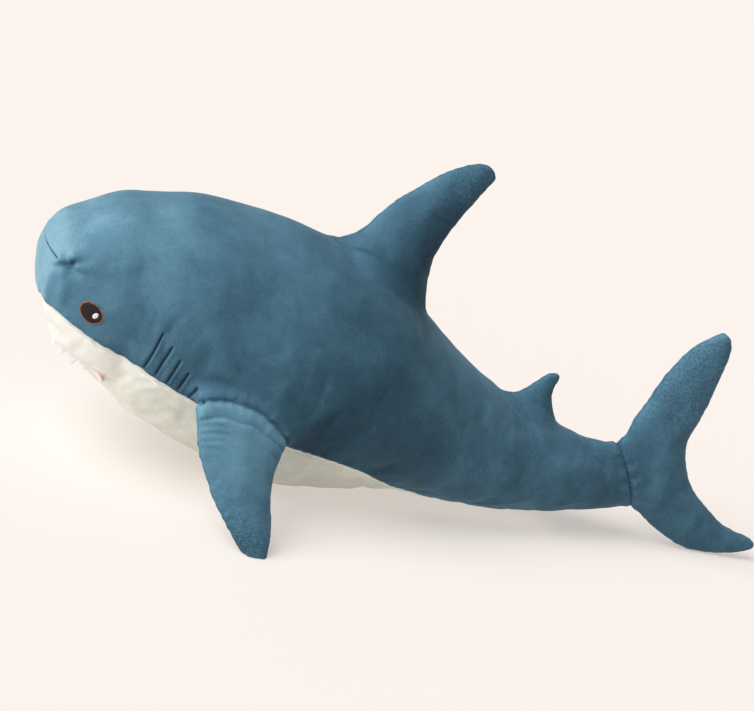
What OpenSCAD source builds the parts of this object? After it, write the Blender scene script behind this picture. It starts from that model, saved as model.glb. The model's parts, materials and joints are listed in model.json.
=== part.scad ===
// Plush shark: sewn fabric panels over soft filling, with felt teeth, embroidered eyes and stuffed fins.
// The pattern is laid out from the snout: x is the distance behind the snout tip, y is positive on the
// shark's right side, z is the height above the surface that it lies on. One module, stand(), then moves
// the whole shark so that the origin is under the middle of its length, with the snout toward -X.

/* [Body] */
// Overall length, from the snout to the tip of the tail's lower lobe
shark_length = 800; // [600:10:1000]
// Width of the body compared with the standard pattern
girth = 1; // [0.9:0.01:1.1]
// Thickness of the fabric with its pile
fabric = 2; // [1:0.1:2.5]
// Height of the snout tip above the surface
nose_z = 186; // [175:1:195]

/* [Mouth] */
// Height of the corner of the mouth
lip_z = 96; // [94:1:98]
// Distance from the snout to the corner of the mouth
mouth_corner = 68; // [64:1:72]
// How much the line of the mouth rises toward the snout
lip_slope = 24; // [22:1:25]
// How far the lower jaw sits behind the snout
jaw_front = 22; // [20:1:30]
// Number of teeth in the felt strip
teeth = 13; // [9:2:17]
// Length of a tooth below the lip
tooth_length = 9; // [6:0.5:11]

/* [Eyes and stitching] */
// Long axis of the embroidered eye
eye_length = 26; // [18:1:30]
// Short axis of the embroidered eye
eye_height = 19; // [14:1:22]
// Number of gill tucks on a side
gills = 5; // [3:1:5]
// Thickness of the stitching thread
thread_d = 1.6; // [1:0.1:2]

/* [Fins] */
// Height of the dorsal fin above its root
dorsal_height = 125; // [110:1:140]
// Largest thickness of the dorsal fin
dorsal_thick = 34; // [24:1:38]
// Length of a pectoral fin from its root
pectoral_length = 104; // [90:1:104]
// Largest thickness of a pectoral fin
pectoral_thick = 30; // [20:1:34]
// Largest thickness of the tail fin
tail_fin_thick = 30; // [20:1:34]

/* [Bend] */
// Distance from the snout to the upright axis that the tail bends about
bend_x = 445; // [435:1:455]
// Clearance between pieces that move against each other
gap = 0.8; // [0.5:0.1:1.5]

/* [Hidden] */

blue = [0.29, 0.46, 0.55];
white = [0.88, 0.88, 0.83];
felt = [0.97, 0.97, 0.95];
pink = [0.95, 0.72, 0.60];
fill = [0.93, 0.93, 0.90];
thread = [0.16, 0.27, 0.33];
eye_brown = [0.72, 0.42, 0.25];
eye_dark = [0.10, 0.07, 0.06];

pattern_length = 800;          // the tables below are drawn at this length
clear = 0.3;                   // filling to fabric, and piece to piece in one body
around = 24;                   // points around a body section
widest = 0.48;                 // height of the widest point, as a share of the section
snout_round = 0.84;            // 1 is an elliptical snout, less is blunter

// Body sections behind the snout: [x, top z, bottom z, half width, forward lean of the section].
// A bottom below zero is pressed flat where the belly rests.
BODY = [
    [ 80, 240,  72,  87, 0],
    [130, 252,  47, 101, 0],
    [185, 256,  25, 110, 0],
    [245, 249,  -5, 112, 0],
    [305, 229,  -4, 106, 0],
    [365, 191,  13,  92, 0],
    [425, 157,  17,  73, 0],
    [485, 132,  17,  56, 0.05],
    [545, 110,  19,  41, 0.2],
    [590, 102,  26,  28, 0.4],
    [627, 105,  35,  16, 0.577],
];
// Where the blue back meets the white underside, seen from the side: [x, z]
COLOUR_SEAM = [[-5, 148], [12, 145], [38, 136], [84, 116], [148, 98], [238, 73], [296, 59], [335, 48],
    [370, 34], [420, 22], [500, 21], [560, 24], [575, -5]];

// Gill tucks: the first one's foot, the step to the next, and the length of the first and the last
gill_foot = [97, 117];
gill_step = [13, -4.5];
gill_first = 38;
gill_last = 15;
gill_lean = 12;
eye_at = [42, 155];            // eye centre: distance behind the snout, height
eye_turn = 28;                 // its long axis slopes down toward the tail
eye_thick = 0.9;
eye_rim = 1.8;
eye_lift = 0.15;               // the stitches stand clear of the fabric
glint_at = [5, 1];
// Mouth, measured from the line of the lip
felt_thick = 1.4;
jaw_drop = 2;                  // gap between the lip and the lower jaw
palate_z = 0.3;
mouth_depth = 45;              // how far the lining reaches behind the corners
lip_reach = 64;                // from the corners to the front of the lip
lip_half = 62 * girth;
lip_round = 0.75;              // below 1, the lip is blunter than an ellipse
lip_inset = 5.6;                // how far the teeth stand inside the lip
strip_start = 8;               // angle from the corner of the mouth to the first tooth
palate_inset = 9;               // how far the palate stands inside the body

// Fin outlines above the root: [height, leading edge, trailing edge, share of the thickness]
DORSAL = [[0, -58, 42, 0.6], [0.12, -55, 22, 0.9], [0.28, -51, 10, 1], [0.5, -43, 1, 0.85],
    [0.7, -34, -3, 0.6], [0.86, -25, -4, 0.42], [0.96, -17, -4, 0.3], [1, -11, -5, 0.12]];
REAR_DORSAL = [[0, -30, 26, 0.8], [0.2, -26, 14, 1], [0.5, -18, 5, 0.8], [0.8, -9, 1, 0.55], [1, -5, -1, 0.2]];
PECTORAL = [[0, -58, 46, 0.6], [0.14, -53, 36, 1], [0.4, -38, 34, 0.95], [0.6, -24, 40, 0.8],
    [0.78, -7, 47, 0.65], [0.91, 10, 51, 0.45], [0.98, 24, 48, 0.25], [1, 32, 42, 0.1]];
// Tail fin from the upper tip to the lower one: [front x, front z, rear x, rear z, share of the thickness]
TAIL_FIN = [[672, 236, 684, 232, 0.15], [660, 231, 690, 222, 0.4], [643, 214, 690, 195, 0.65],
    [628, 184, 686, 165, 0.85], [617, 149, 682, 140, 1], [607, 112, 679, 120, 1], [629, 74, 680, 110, 1],
    [650, 38, 686, 94, 1], [682, 22, 697, 76, 0.9], [716, 9, 722, 54, 0.75], [744, 3, 750, 38, 0.55],
    [772, 3, 778, 28, 0.4], [798, 12, 800, 20, 0.2]];

// Roots of the fins: the middle of the line that each one bends about, and its slope down toward the tail
dorsal_root = [326, 0, 229];
dorsal_slope = 29;
rear_dorsal_root = [506, 0, 130];
rear_dorsal_slope = 19;
rear_dorsal_height = 31;
rear_dorsal_thick = 14;
pectoral_root = [202, 116, 95];  // on the right side; the left one mirrors it
pectoral_slope = 15.5;
pectoral_droop = 35;             // angle between a resting pectoral fin and straight down
root_r = 8;                      // rounding below the bending line of a large fin
small_root_r = 5;

bend_r = body_half(bend_x) + 1.5;

// ---- helpers ----

// Point on a Catmull-Rom curve between p1 and p2
function spline(p0, p1, p2, p3, f) =
    0.5 * (2 * p1 + (p2 - p0) * f + (2 * p0 - 5 * p1 + 4 * p2 - p3) * f * f
    + (3 * p1 - p0 - 3 * p2 + p3) * f * f * f);

// Row of a table at the fractional index t
function row(table, t) =
    let (last = len(table) - 1, i = min(floor(t), last - 1))
    spline(table[max(i - 1, 0)], table[i], table[i + 1], table[min(i + 2, last)], t - i);

// Fractional index of the body section at the distance x behind the snout
function at_x(x, i = 0) =
    i >= len(BODY) - 2 || x < BODY[i + 1][0]
        ? i + (x - BODY[i][0]) / (BODY[i + 1][0] - BODY[i][0]) : at_x(x, i + 1);

function body_half(x) = row(BODY, at_x(x))[3] * girth;

// Body section at t: from 0 the table's rows, from -1 to 0 the rounded snout, which starts at x = start
function section(t, inset = 0, start = 0) =
    t >= 0
        ? let (r = row(BODY, t)) [r[0], r[1] - inset, r[2] + inset, r[3] * girth - inset, r[4]]
        : let (turn = 90 * (t + 1), q = pow(sin(turn), snout_round), r = BODY[0], front = start + inset)
            [r[0] - (r[0] - front) * pow(cos(turn), snout_round), nose_z + (r[1] - inset - nose_z) * q,
            nose_z + (r[2] + inset - nose_z) * q, (r[3] * girth - inset) * q, 0];

// Point of a section at the angle a, where 0 is the right side and 90 the top
function section_point(s, a, floor_z = 0) =
    let (mid = s[2] + (s[1] - s[2]) * widest, h = sin(a) > 0 ? s[1] - mid : mid - s[2], z = mid + h * sin(a))
    [s[0] - s[4] * (z - mid), s[3] * cos(a), max(floor_z, z)];

// Point on the right side of the body at the height z, raised by lift
function side_point(t, z, lift = 0) =
    let (s = section(t, -lift), mid = s[2] + (s[1] - s[2]) * widest, h = z > mid ? s[1] - mid : mid - s[2])
    section_point(s, asin(max(-1, min(1, (z - mid) / h))));

function unit(v) = v / norm(v);

// Closed solid through rings that have the same number of points, each turning anticlockwise when it is
// seen from the last ring
module loft(rings) {
    n = len(rings[0]);
    m = len(rings);
    walls = [for (i = [0:m - 2], j = [0:n - 1], half = [0, 1])
        let (a = i * n + j, b = i * n + (j + 1) % n, c = b + n, d = a + n) half == 0 ? [c, b, a] : [d, c, a]];
    front = [for (j = [0:n - 1]) j];
    back = [for (j = [n - 1:-1:0]) (m - 1) * n + j];
    polyhedron([for (r = rings, p = r) p], concat(walls, [front, back]));
}

// Solid between two grids of points that lie one over the other
module slab(outer, inner) {
    m = len(outer);
    n = len(outer[0]);
    deep = m * n;
    skin = [for (i = [0:m - 2], j = [0:n - 2], half = [0, 1])
        let (a = i * n + j, b = a + 1, c = b + n, d = a + n) half == 0 ? [c, b, a] : [d, c, a]];
    lining = [for (f = skin) [f[2] + deep, f[1] + deep, f[0] + deep]];
    rim = concat([for (j = [0:n - 1]) j], [for (i = [1:m - 1]) i * n + n - 1],
        [for (j = [n - 2:-1:0]) (m - 1) * n + j], [for (i = [m - 2:-1:1]) i * n]);
    edge = [for (k = [0:len(rim) - 1], half = [0, 1])
        let (a = rim[k], b = rim[(k + 1) % len(rim)]) half == 0 ? [a, b, a + deep] : [b, b + deep, a + deep]];
    polyhedron([for (g = concat(outer, inner), p = g) p], concat(skin, lining, edge));
}

// Makes one meshed solid of its children
module as_mesh() {
    resize([0, 0, 0]) union() children();
}

// Moves the pattern to the shark's own place and size
module stand() {
    k = shark_length / pattern_length;
    scale(k) translate([-pattern_length / 2, 0, 0]) children();
}

module mirrored(side) {
    mirror([0, side < 0 ? 1 : 0, 0]) children();
}

// ---- body ----

snout_rows = [for (turn = [7, 18, 32, 48, 68]) turn / 90 - 1];
body_rows = [for (i = [0:0.5:len(BODY) - 1]) i];

// The stuffed body as one closed form, made smaller by inset
module body_form(inset = 0, start = 0) {
    rings = [for (t = concat(snout_rows, body_rows)) let (s = section(t, inset, start))
        [for (j = [0:around - 1]) section_point(s, 360 * j / around, inset)]];
    loft(rings);
}

module skin(start = 0) {
    difference() {
        body_form(0, start);
        body_form(fabric, start);
    }
}

// Everything above the line where the colours meet, or below it, short of it by clear / 2
module above_colour_seam(up = true) {
    far = up ? 400 : -100;
    shift = up ? clear / 2 : -clear / 2;
    rotate([90, 0, 0]) linear_extrude(height = 400, center = true)
        polygon(concat([for (i = [0:0.25:len(COLOUR_SEAM) - 1]) row(COLOUR_SEAM, i) + [0, shift]],
            up ? [[900, -5], [900, far], [-5, far]] : [[575, far], [-5, far]]));
}

module span(from, to, low = -10, high = 400) {
    translate([from, -200, low]) cube([to - from, 400, high - low]);
}

module bend_column(r) {
    translate([bend_x, 0, -10]) cylinder(h = 300, r = r, $fn = 72);
}

// The part of the body in front of the bend, which ends in a hollow round the bend's axis
module torso_part() {
    as_mesh() difference() {
        intersection() {
            children();
            span(-5, bend_x);
        }
        bend_column(bend_r + gap);
    }
}

// The part of the body behind the bend, which starts with a round end
module tail_part() {
    as_mesh() intersection() {
        children();
        union() {
            bend_column(bend_r);
            span(bend_x, 900);
        }
    }
}

module back_panel() {
    color(blue) stand() torso_part() intersection() {
        skin();
        above_colour_seam();
    }
}

module upper_jaw_panel() {
    color(white) stand() as_mesh() intersection() {
        skin();
        above_colour_seam(false);
        mouth_block(-90, 0, 0, 90);
    }
}

module belly_panel() {
    color(white) stand() torso_part() difference() {
        intersection() {
            skin(jaw_front);
            above_colour_seam(false);
        }
        mouth_block(-90, clear, -jaw_drop, 90);
    }
}

// The filling above the mouth, behind it, and in the lower jaw
module torso_filling() {
    upper = palate_z + felt_thick + clear;
    color(fill) stand() torso_part() {
        intersection() {
            body_form(fabric + clear);
            mouth_block(-100, 0, upper, 400);
        }
        intersection() {
            body_form(fabric + clear, jaw_front);
            mouth_block(-1, 700, upper, 400);
        }
        difference() {
            body_form(fabric + clear, jaw_front);
            mouth_block(-100, mouth_depth + clear, -jaw_drop - felt_thick - 2 * clear, 400);
        }
    }
}

module tail_back_panel() {
    color(blue) stand() tail_part() intersection() {
        skin();
        above_colour_seam();
    }
}

module tail_belly_panel() {
    color(white) stand() tail_part() intersection() {
        skin();
        above_colour_seam(false);
    }
}

module tail_stock_filling() {
    color(fill) stand() tail_part() body_form(fabric + clear);
}

// ---- mouth ----

// A block in the mouth's own frame: a runs back from the corners, c is the height over the line of the lip
module mouth_block(a_from, a_to, c_from, c_to) {
    translate([mouth_corner, 0, lip_z]) rotate([0, lip_slope, 0])
        translate([a_from, -200, c_from]) cube([a_to - a_from, 400, c_to - c_from]);
}

// One lining: the palate, the floor of the mouth, and the fold that joins them at the back
module mouth_lining() {
    floor_top = -jaw_drop - clear;
    color(pink) stand() as_mesh() {
        intersection() {
            body_form(palate_inset);
            mouth_block(-90, mouth_depth, palate_z, palate_z + felt_thick);
        }
        intersection() {
            body_form(fabric + clear, jaw_front);
            union() {
                mouth_block(-90, mouth_depth, floor_top - felt_thick, floor_top);
                mouth_block(mouth_depth - felt_thick, mouth_depth, floor_top - felt_thick,
                    palate_z + felt_thick);
            }
        }
    }
}

// Point inside the lip at the angle a from the right corner (0) round the snout to the left one (180)
function lip_point(a) =
    [-(lip_reach - lip_inset) * pow(sin(a), lip_round),
    sign(cos(a)) * (lip_half - lip_inset) * pow(abs(cos(a)), lip_round), 0];

// Felt triangles side by side, hanging inside the lip
module upper_teeth() {
    base = palate_z + felt_thick;
    color(felt) stand() translate([mouth_corner, 0, lip_z]) rotate([0, lip_slope, 0])
        for (i = [0:teeth - 1]) {
            p = lip_point(strip_start + (180 - 2 * strip_start) * i / teeth);
            q = lip_point(strip_start + (180 - 2 * strip_start) * (i + 1) / teeth);
            wide = norm(q - p) - clear;
            translate((p + q) / 2) rotate([0, 0, atan2(q[1] - p[1], q[0] - p[0])]) rotate([90, 0, 0])
                linear_extrude(height = felt_thick, center = true)
                    polygon([[-wide / 2, base], [-wide / 2, 0], [0, -tooth_length], [wide / 2, 0],
                        [wide / 2, base]]);
        }
}

// ---- eyes ----

// Places its children on the side of the body with Z along the surface's normal
module on_side(x, z, lift) {
    t = x < BODY[0][0] ? snout_t(x) : at_x(x);
    p = side_point(t, z);
    back = unit(side_point(t + 0.02, z) - side_point(t - 0.02, z));
    up = unit(side_point(t, z + 1) - side_point(t, z - 1));
    n = unit(cross(up, back));
    v = cross(n, back);
    m = [[back[0], v[0], n[0], p[0] + lift * n[0]], [back[1], v[1], n[1], p[1] + lift * n[1]],
        [back[2], v[2], n[2], p[2] + lift * n[2]], [0, 0, 0, 1]];
    multmatrix(m) children();
}

function snout_t(x) = acos(pow((BODY[0][0] - x) / BODY[0][0], 1 / snout_round)) / 90 - 1;

function oval(a, b) = [for (i = [0:39]) [a * cos(9 * i), b * sin(9 * i)]];

module eye_part(side, lift, thick) {
    stand() mirrored(side) on_side(eye_at[0], eye_at[1], lift) rotate([0, 0, eye_turn])
        linear_extrude(height = thick) children();
}

module eye_outline(side) {
    color(eye_brown) eye_part(side, eye_lift, eye_thick) difference() {
        polygon(oval(eye_length / 2, eye_height / 2));
        polygon(oval(eye_length / 2 - eye_rim, eye_height / 2 - eye_rim));
    }
}

module eye_pupil(side) {
    color(eye_dark) eye_part(side, eye_lift, eye_thick)
        polygon(oval(eye_length / 2 - eye_rim - clear, eye_height / 2 - eye_rim - clear));
}

module eye_glint(side) {
    color(felt) eye_part(side, 2 * eye_lift + eye_thick, eye_thick / 2) translate(glint_at) polygon(oval(3, 2.6));
}

// ---- stitching ----

// Thread along points, with a six-sided section; ref is any direction that the thread never takes
module thread_along(points, ref) {
    last = len(points) - 1;
    loft([for (i = [0:last])
        let (d = unit(points[min(i + 1, last)] - points[max(i - 1, 0)]), u = unit(cross(d, ref)), v = cross(d, u))
        [for (a = [0:60:300]) points[i] + thread_d / 2 * (u * cos(a) + v * sin(a))]]);
}

module gill_stitches(side) {
    color(thread) stand() mirrored(side) for (i = [0:gills - 1]) {
        foot = gill_foot + i * gill_step;
        reach = gill_first + (gill_last - gill_first) * i / max(gills - 1, 1);
        points = [for (f = [0:0.2:1])
            let (x = foot[0] + f * reach * sin(gill_lean), z = foot[1] + f * reach * cos(gill_lean))
            side_point(at_x(x), z, thread_d / 2 + clear)];
        thread_along(points, [0, 1, 0]);
    }
}

module snout_seam_stitches() {
    rise = (nose_z - BODY[0][2]) / (BODY[0][1] - BODY[0][2]) - widest;
    a = asin(rise / (1 - widest));
    lift = thread_d / 2 + clear;
    color(thread) stand() thread_along([for (turn = [-36:6:36])
        let (s = section(abs(turn) / 90 - 1, -lift)) section_point(s, turn < 0 ? 180 - a : a)], [0, 0, 1]);
}

module closing_stitches() {
    color(thread) stand() thread_along([for (x = [300:10:360])
        side_point(at_x(x), lookup(x, COLOUR_SEAM), thread_d / 2 + clear)], [0, 1, 0]);
}

module tail_seam_stitches() {
    s = section(len(BODY) - 1.2, -thread_d / 2 - clear);
    color(thread) stand() thread_along([for (a = [-85:15:260]) section_point(s, a)], [1, 0, 0]);
}

// ---- fins ----

// Sections of a fin from the bottom of its rounded root to its tip: [height, middle of the chord, half
// chord, half thickness], made smaller by inset
function fin_rows(table, height, thick, r, inset) =
    let (r0 = row(table, 0), last = len(table) - 1)
    concat([for (turn = [70, 35]) fin_row(r0, -(r - inset) * sin(turn), thick * cos(turn), inset)],
    [for (t = [0:0.5:last]) let (s = row(table, t)) fin_row(s, s[0] * (height - inset), thick, inset)]);

function fin_row(s, z, thick, inset) =
    let (least = 1.5 - inset / 2)
    [z, (s[1] + s[2]) / 2, max((s[2] - s[1]) / 2 - inset, least), max(thick / 2 * s[3] - inset, least)];

// Points round one section, over the angles from and to
function fin_ring(s, from, to, steps) = [for (k = [0:steps])
    let (a = from + (to - from) * k / steps) [s[1] + s[2] * cos(a), s[3] * sin(a), s[0]]];

// The fabric on one side of a fin, +1 or -1 along Y
module fin_panel(table, height, thick, r, side) {
    from = side > 0 ? 0 : 180;
    outer = [for (s = fin_rows(table, height, thick, r, 0)) fin_ring(s, from, from + 180, 10)];
    inner = [for (s = fin_rows(table, height, thick, r, fabric)) fin_ring(s, from, from + 180, 10)];
    translate([0, side * clear / 4, 0]) slab(outer, inner);
}

module fin_filling(table, height, thick, r) {
    loft([for (s = fin_rows(table, height, thick, r, fabric + clear)) fin_ring(s, 0, 337.5, 15)]);
}

module at_dorsal() {
    stand() translate(dorsal_root) rotate([0, dorsal_slope, 0]) children();
}

module at_rear_dorsal() {
    stand() translate(rear_dorsal_root) rotate([0, rear_dorsal_slope, 0]) children();
}

// The pectoral fin's upper face looks along -Y before it is placed
module at_pectoral(side) {
    stand() mirrored(side) translate(pectoral_root)
        rotate([pectoral_droop - 180, pectoral_slope, 0]) children();
}

module dorsal_panel(side) {
    color(blue) at_dorsal() fin_panel(DORSAL, dorsal_height, dorsal_thick, root_r, side);
}

module dorsal_filling() {
    color(fill) at_dorsal() fin_filling(DORSAL, dorsal_height, dorsal_thick, root_r);
}

module rear_dorsal_panel(side) {
    color(blue) at_rear_dorsal()
        fin_panel(REAR_DORSAL, rear_dorsal_height, rear_dorsal_thick, small_root_r, side);
}

module rear_dorsal_filling() {
    color(fill) at_rear_dorsal()
        fin_filling(REAR_DORSAL, rear_dorsal_height, rear_dorsal_thick, small_root_r);
}

module pectoral_panel(side, face) {
    color(blue) at_pectoral(side) fin_panel(PECTORAL, pectoral_length, pectoral_thick, root_r, face);
}

module pectoral_filling(side) {
    color(fill) at_pectoral(side) fin_filling(PECTORAL, pectoral_length, pectoral_thick, root_r);
}

// ---- tail fin ----

// Sections from the lower tip to the upper one: [front point, rear point, half thickness], in the XZ plane
function tail_rows(inset) =
    let (last = len(TAIL_FIN) - 1, trim = inset * 0.08, least = 1.5 - inset / 2)
    [for (k = [24:-1:0]) let (r = row(TAIL_FIN, trim + (last - 2 * trim) * k / 24), f = [r[0], 0, r[1]],
        b = [r[2], 0, r[3]], d = unit(b - f) * min(inset, norm(b - f) / 2 - least))
        [f + d, b - d, max(tail_fin_thick / 2 * r[4] - inset, least)]];

function tail_ring(s, from, to, steps) = [for (k = [0:steps])
    let (a = from + (to - from) * k / steps)
    (s[0] + s[1]) / 2 + (s[1] - s[0]) / 2 * cos(a) + [0, s[2] * sin(a), 0]];

module tail_fin_panel(side) {
    from = side > 0 ? 0 : 180;
    outer = [for (s = tail_rows(0)) tail_ring(s, from, from + 180, 10)];
    inner = [for (s = tail_rows(fabric)) tail_ring(s, from, from + 180, 10)];
    color(blue) stand() translate([0, side * clear / 4, 0]) slab(outer, inner);
}

module tail_fin_filling() {
    color(fill) stand() loft([for (s = tail_rows(fabric + clear)) tail_ring(s, 0, 337.5, 15)]);
}

back_panel();
upper_jaw_panel();
belly_panel();
torso_filling();
mouth_lining();
upper_teeth();
eye_outline(-1);  // left_eye_outline
eye_pupil(-1);  // left_eye_pupil
eye_glint(-1);  // left_eye_glint
eye_outline(1);  // right_eye_outline
eye_pupil(1);  // right_eye_pupil
eye_glint(1);  // right_eye_glint
gill_stitches(-1);  // left_gill_stitches
gill_stitches(1);  // right_gill_stitches
snout_seam_stitches();
closing_stitches();
tail_back_panel();
tail_belly_panel();
tail_stock_filling();
tail_seam_stitches();
dorsal_panel(-1);  // dorsal_fin_left_panel
dorsal_panel(1);  // dorsal_fin_right_panel
dorsal_filling();  // dorsal_fin_filling
rear_dorsal_panel(-1);  // rear_dorsal_left_panel
rear_dorsal_panel(1);  // rear_dorsal_right_panel
rear_dorsal_filling();
pectoral_panel(-1, -1);  // left_pectoral_upper_panel
pectoral_panel(-1, 1);  // left_pectoral_lower_panel
pectoral_filling(-1);  // left_pectoral_filling
pectoral_panel(1, -1);  // right_pectoral_upper_panel
pectoral_panel(1, 1);  // right_pectoral_lower_panel
pectoral_filling(1);  // right_pectoral_filling
tail_fin_panel(-1);  // tail_fin_left_panel
tail_fin_panel(1);  // tail_fin_right_panel
tail_fin_filling();
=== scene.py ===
"""The plush shark's looks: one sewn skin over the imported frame, cut into its panels along the seams.

The shape is worked out in the pattern's millimetres, as in the part: x is the distance behind the snout,
y is positive on the shark's right side and z is the height. Meshes are made in metres in the row frame.
"""
import json
import math
from contextlib import contextmanager

import bmesh
import bpy
import numpy as np
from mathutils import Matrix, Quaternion, Vector
from mathutils.bvhtree import BVHTree
from mathutils.kdtree import KDTree
from mathutils.noise import noise as perlin


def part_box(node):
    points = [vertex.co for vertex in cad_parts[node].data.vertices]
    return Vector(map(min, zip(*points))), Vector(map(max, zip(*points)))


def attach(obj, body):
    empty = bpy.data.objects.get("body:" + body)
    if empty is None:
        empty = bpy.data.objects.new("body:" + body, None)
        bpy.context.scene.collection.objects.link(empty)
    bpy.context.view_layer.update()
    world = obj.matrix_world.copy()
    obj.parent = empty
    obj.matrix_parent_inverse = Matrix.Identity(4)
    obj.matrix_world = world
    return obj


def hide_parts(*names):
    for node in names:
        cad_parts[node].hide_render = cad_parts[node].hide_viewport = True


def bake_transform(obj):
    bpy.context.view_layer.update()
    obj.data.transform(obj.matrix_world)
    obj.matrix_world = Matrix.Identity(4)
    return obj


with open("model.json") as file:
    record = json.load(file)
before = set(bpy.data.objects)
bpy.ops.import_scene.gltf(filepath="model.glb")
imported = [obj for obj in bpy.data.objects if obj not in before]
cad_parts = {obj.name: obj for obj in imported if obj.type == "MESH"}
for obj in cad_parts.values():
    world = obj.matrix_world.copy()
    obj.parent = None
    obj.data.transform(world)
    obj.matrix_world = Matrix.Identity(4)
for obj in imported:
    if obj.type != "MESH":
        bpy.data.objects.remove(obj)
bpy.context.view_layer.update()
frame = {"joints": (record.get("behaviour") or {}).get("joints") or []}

JOINTS = {j["name"]: j for j in frame["joints"]}

MM = 0.001
HALF_LENGTH = 400.0            # the frame's origin is this far behind the snout
SIDES = {-1: "left", 1: "right"}

# ---- the body's form, as in the part ----

# [x, top, bottom, half width, forward lean of the section]
BODY = np.array([
    [80, 244.5, 62, 87, 0],
    [100, 249, 47.5, 93, 0],
    [130, 253.5, 37.5, 101, 0],
    [185, 251, 17, 110, 0],
    [245, 243, 0, 112, 0],
    [305, 225, 3, 106, 0],
    [365, 190, 15, 92, 0],
    [425, 151, 13, 73, 0],
    [485, 123, 12, 56, 0.05],
    [545, 108, 19, 41, 0.2],
    [590, 98, 28, 29, 0.4],
    [627, 103, 34, 19, 0.577],
    [652, 100, 45, 12, 0.577],
], float)
NOSE_Z = 186.0
SNOUT_ROUND = 0.84
WIDEST = 0.48
SNOUT_EDGE = 50.0              # the snout's upright edges lie this far from the middle
JAW_CUT, BROW_DROP = 9.5, 11.5
# Where the blue back meets the white underside, seen from the side: [x, z]
COLOUR_SEAM = np.array([[-5, 150], [12, 145.5], [38, 133], [84, 117], [148, 95.5], [238, 73], [296, 59],
    [335, 47], [370, 32], [420, 18.5], [500, 17.5], [560, 22], [575, -5]], float)

# Fins above their roots: [height, leading edge, trailing edge, half thickness]. The rows below zero are
# inside the body.
DORSAL = np.array([[-40, -68, 54, 50], [-18, -64, 47, 37], [0, -59, 38, 27], [15, -57, 25, 20.5],
    [35, -56.5, 17, 17], [62, -51.5, 10.5, 14.5], [87, -42.5, 7, 12.5], [107, -32.5, 6.5, 11],
    [120, -23, 7, 9], [128, -12, 4, 6]], float)
REAR_DORSAL = np.array([[-26, -32, 32, 24], [-10, -27, 28, 15], [0, -25, 22, 10.5], [7, -23, 15, 8.5],
    [16, -19.5, 9, 7.8], [24, -14, 8.5, 7.5], [31, -9.5, 9, 7], [35.5, -5.5, 7.5, 5]], float)
# The last column is how far the middle of the section lies to the outer side, for the rounded shoulder.
PECTORAL = np.array([[-34, -46, 30, 8, -20], [-14, -59, 38, 12, -10.5], [0, -62, 40, 13, -3.5],
    [15, -62.5, 37, 15, 0], [42, -50, 35.5, 14.5, 0], [62, -35.5, 42.5, 13, 0], [81, -17, 50, 11.5, 0],
    [95, 0, 55, 10.5, 0], [105, 12, 57.5, 9, 0], [112, 20, 57, 7, 0], [117, 28, 54, 5, 0],
    [120.5, 36, 49, 2.5, 0]], float)
# Tail fin from the upper tip to the lower one: [front x, front z, rear x, rear z, half thickness]
TAIL_FIN = np.array([[672, 237, 682, 233.5, 6], [660, 230, 687, 221, 7.5], [643.5, 213, 688.5, 195, 11],
    [629, 184, 686, 165, 13.5], [620, 148, 682, 140, 15], [609, 112, 679, 120, 15.5],
    [627, 72, 680, 110, 15.5], [645, 33, 686, 94, 15], [677, 16, 697, 76, 13.5], [711, 1.5, 722, 54, 11.5],
    [742, -1, 750, 37, 9], [771, 2, 777, 28, 7.5], [796, 11, 799, 23, 5.5]], float)

DORSAL_SLOPE = 29.0
REAR_SLOPE = 19.0
PECTORAL_SLOPE = 15.5
PECTORAL_DROOP = 35.0
TAIL_LEAN = 30.0

# The mouth: its corner, and the line of the lip, which rises toward the snout
MOUTH_CORNER = np.array([76.0, 0.0, 92.0])
LIP_SLOPE = 20.0
JAW_FRONT, JAW_REACH = 40.0, 88.0      # how far the lower jaw is set back, and the length that moves
JAW_DROP = 5.5
# The chin slants up toward the lip: its height at CHIN_X, its slope, and its rise toward the sides
CHIN_X, CHIN_HEIGHT, CHIN_SLOPE, CHIN_ROUND = 74.0, 66.5, 0.7, 0.006

VOXEL = 5.0
SNAP = 0.2                     # a point within this share of an edge from a seam moves onto it


def smooth(x, low, high):
    """0 below low, 1 above high, smooth in between; low may be the larger one."""
    t = np.clip((np.asarray(x, float) - low) / (high - low), 0, 1)
    return t * t * (3 - 2 * t)


def bell(x, width):
    return np.exp(-(np.asarray(x, float) / width) ** 2)


def metres(points):
    """Points of the pattern, in millimetres, in the row frame."""
    return (np.asarray(points) - [HALF_LENGTH, 0, 0]) * MM


def millimetres(points):
    """Points of the row frame, in metres, in the pattern."""
    return np.asarray(points, float) / MM + [HALF_LENGTH, 0, 0]


def spline_rows(table, t):
    """Rows of a table at the fractional indices t, on Catmull-Rom curves."""
    t = np.atleast_1d(np.asarray(t, float))
    last = len(table) - 1
    i = np.clip(np.floor(t).astype(int), 0, last - 1)
    f = (t - i)[:, None]
    p0, p1 = table[np.maximum(i - 1, 0)], table[i]
    p2, p3 = table[i + 1], table[np.minimum(i + 2, last)]
    return 0.5 * (2 * p1 + (p2 - p0) * f + (2 * p0 - 5 * p1 + 4 * p2 - p3) * f ** 2
        + (3 * p1 - p0 - 3 * p2 + p3) * f ** 3)


def seam_height(x):
    """Height of the colour seam on the side, at the distance x behind the snout."""
    dense = spline_rows(COLOUR_SEAM, np.linspace(0, len(COLOUR_SEAM) - 1, 200))
    order = np.argsort(dense[:, 0])
    z = np.interp(x, dense[order, 0], dense[order, 1])
    return np.where(np.asarray(x) > COLOUR_SEAM[-1, 0], -100.0, z)


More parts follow.
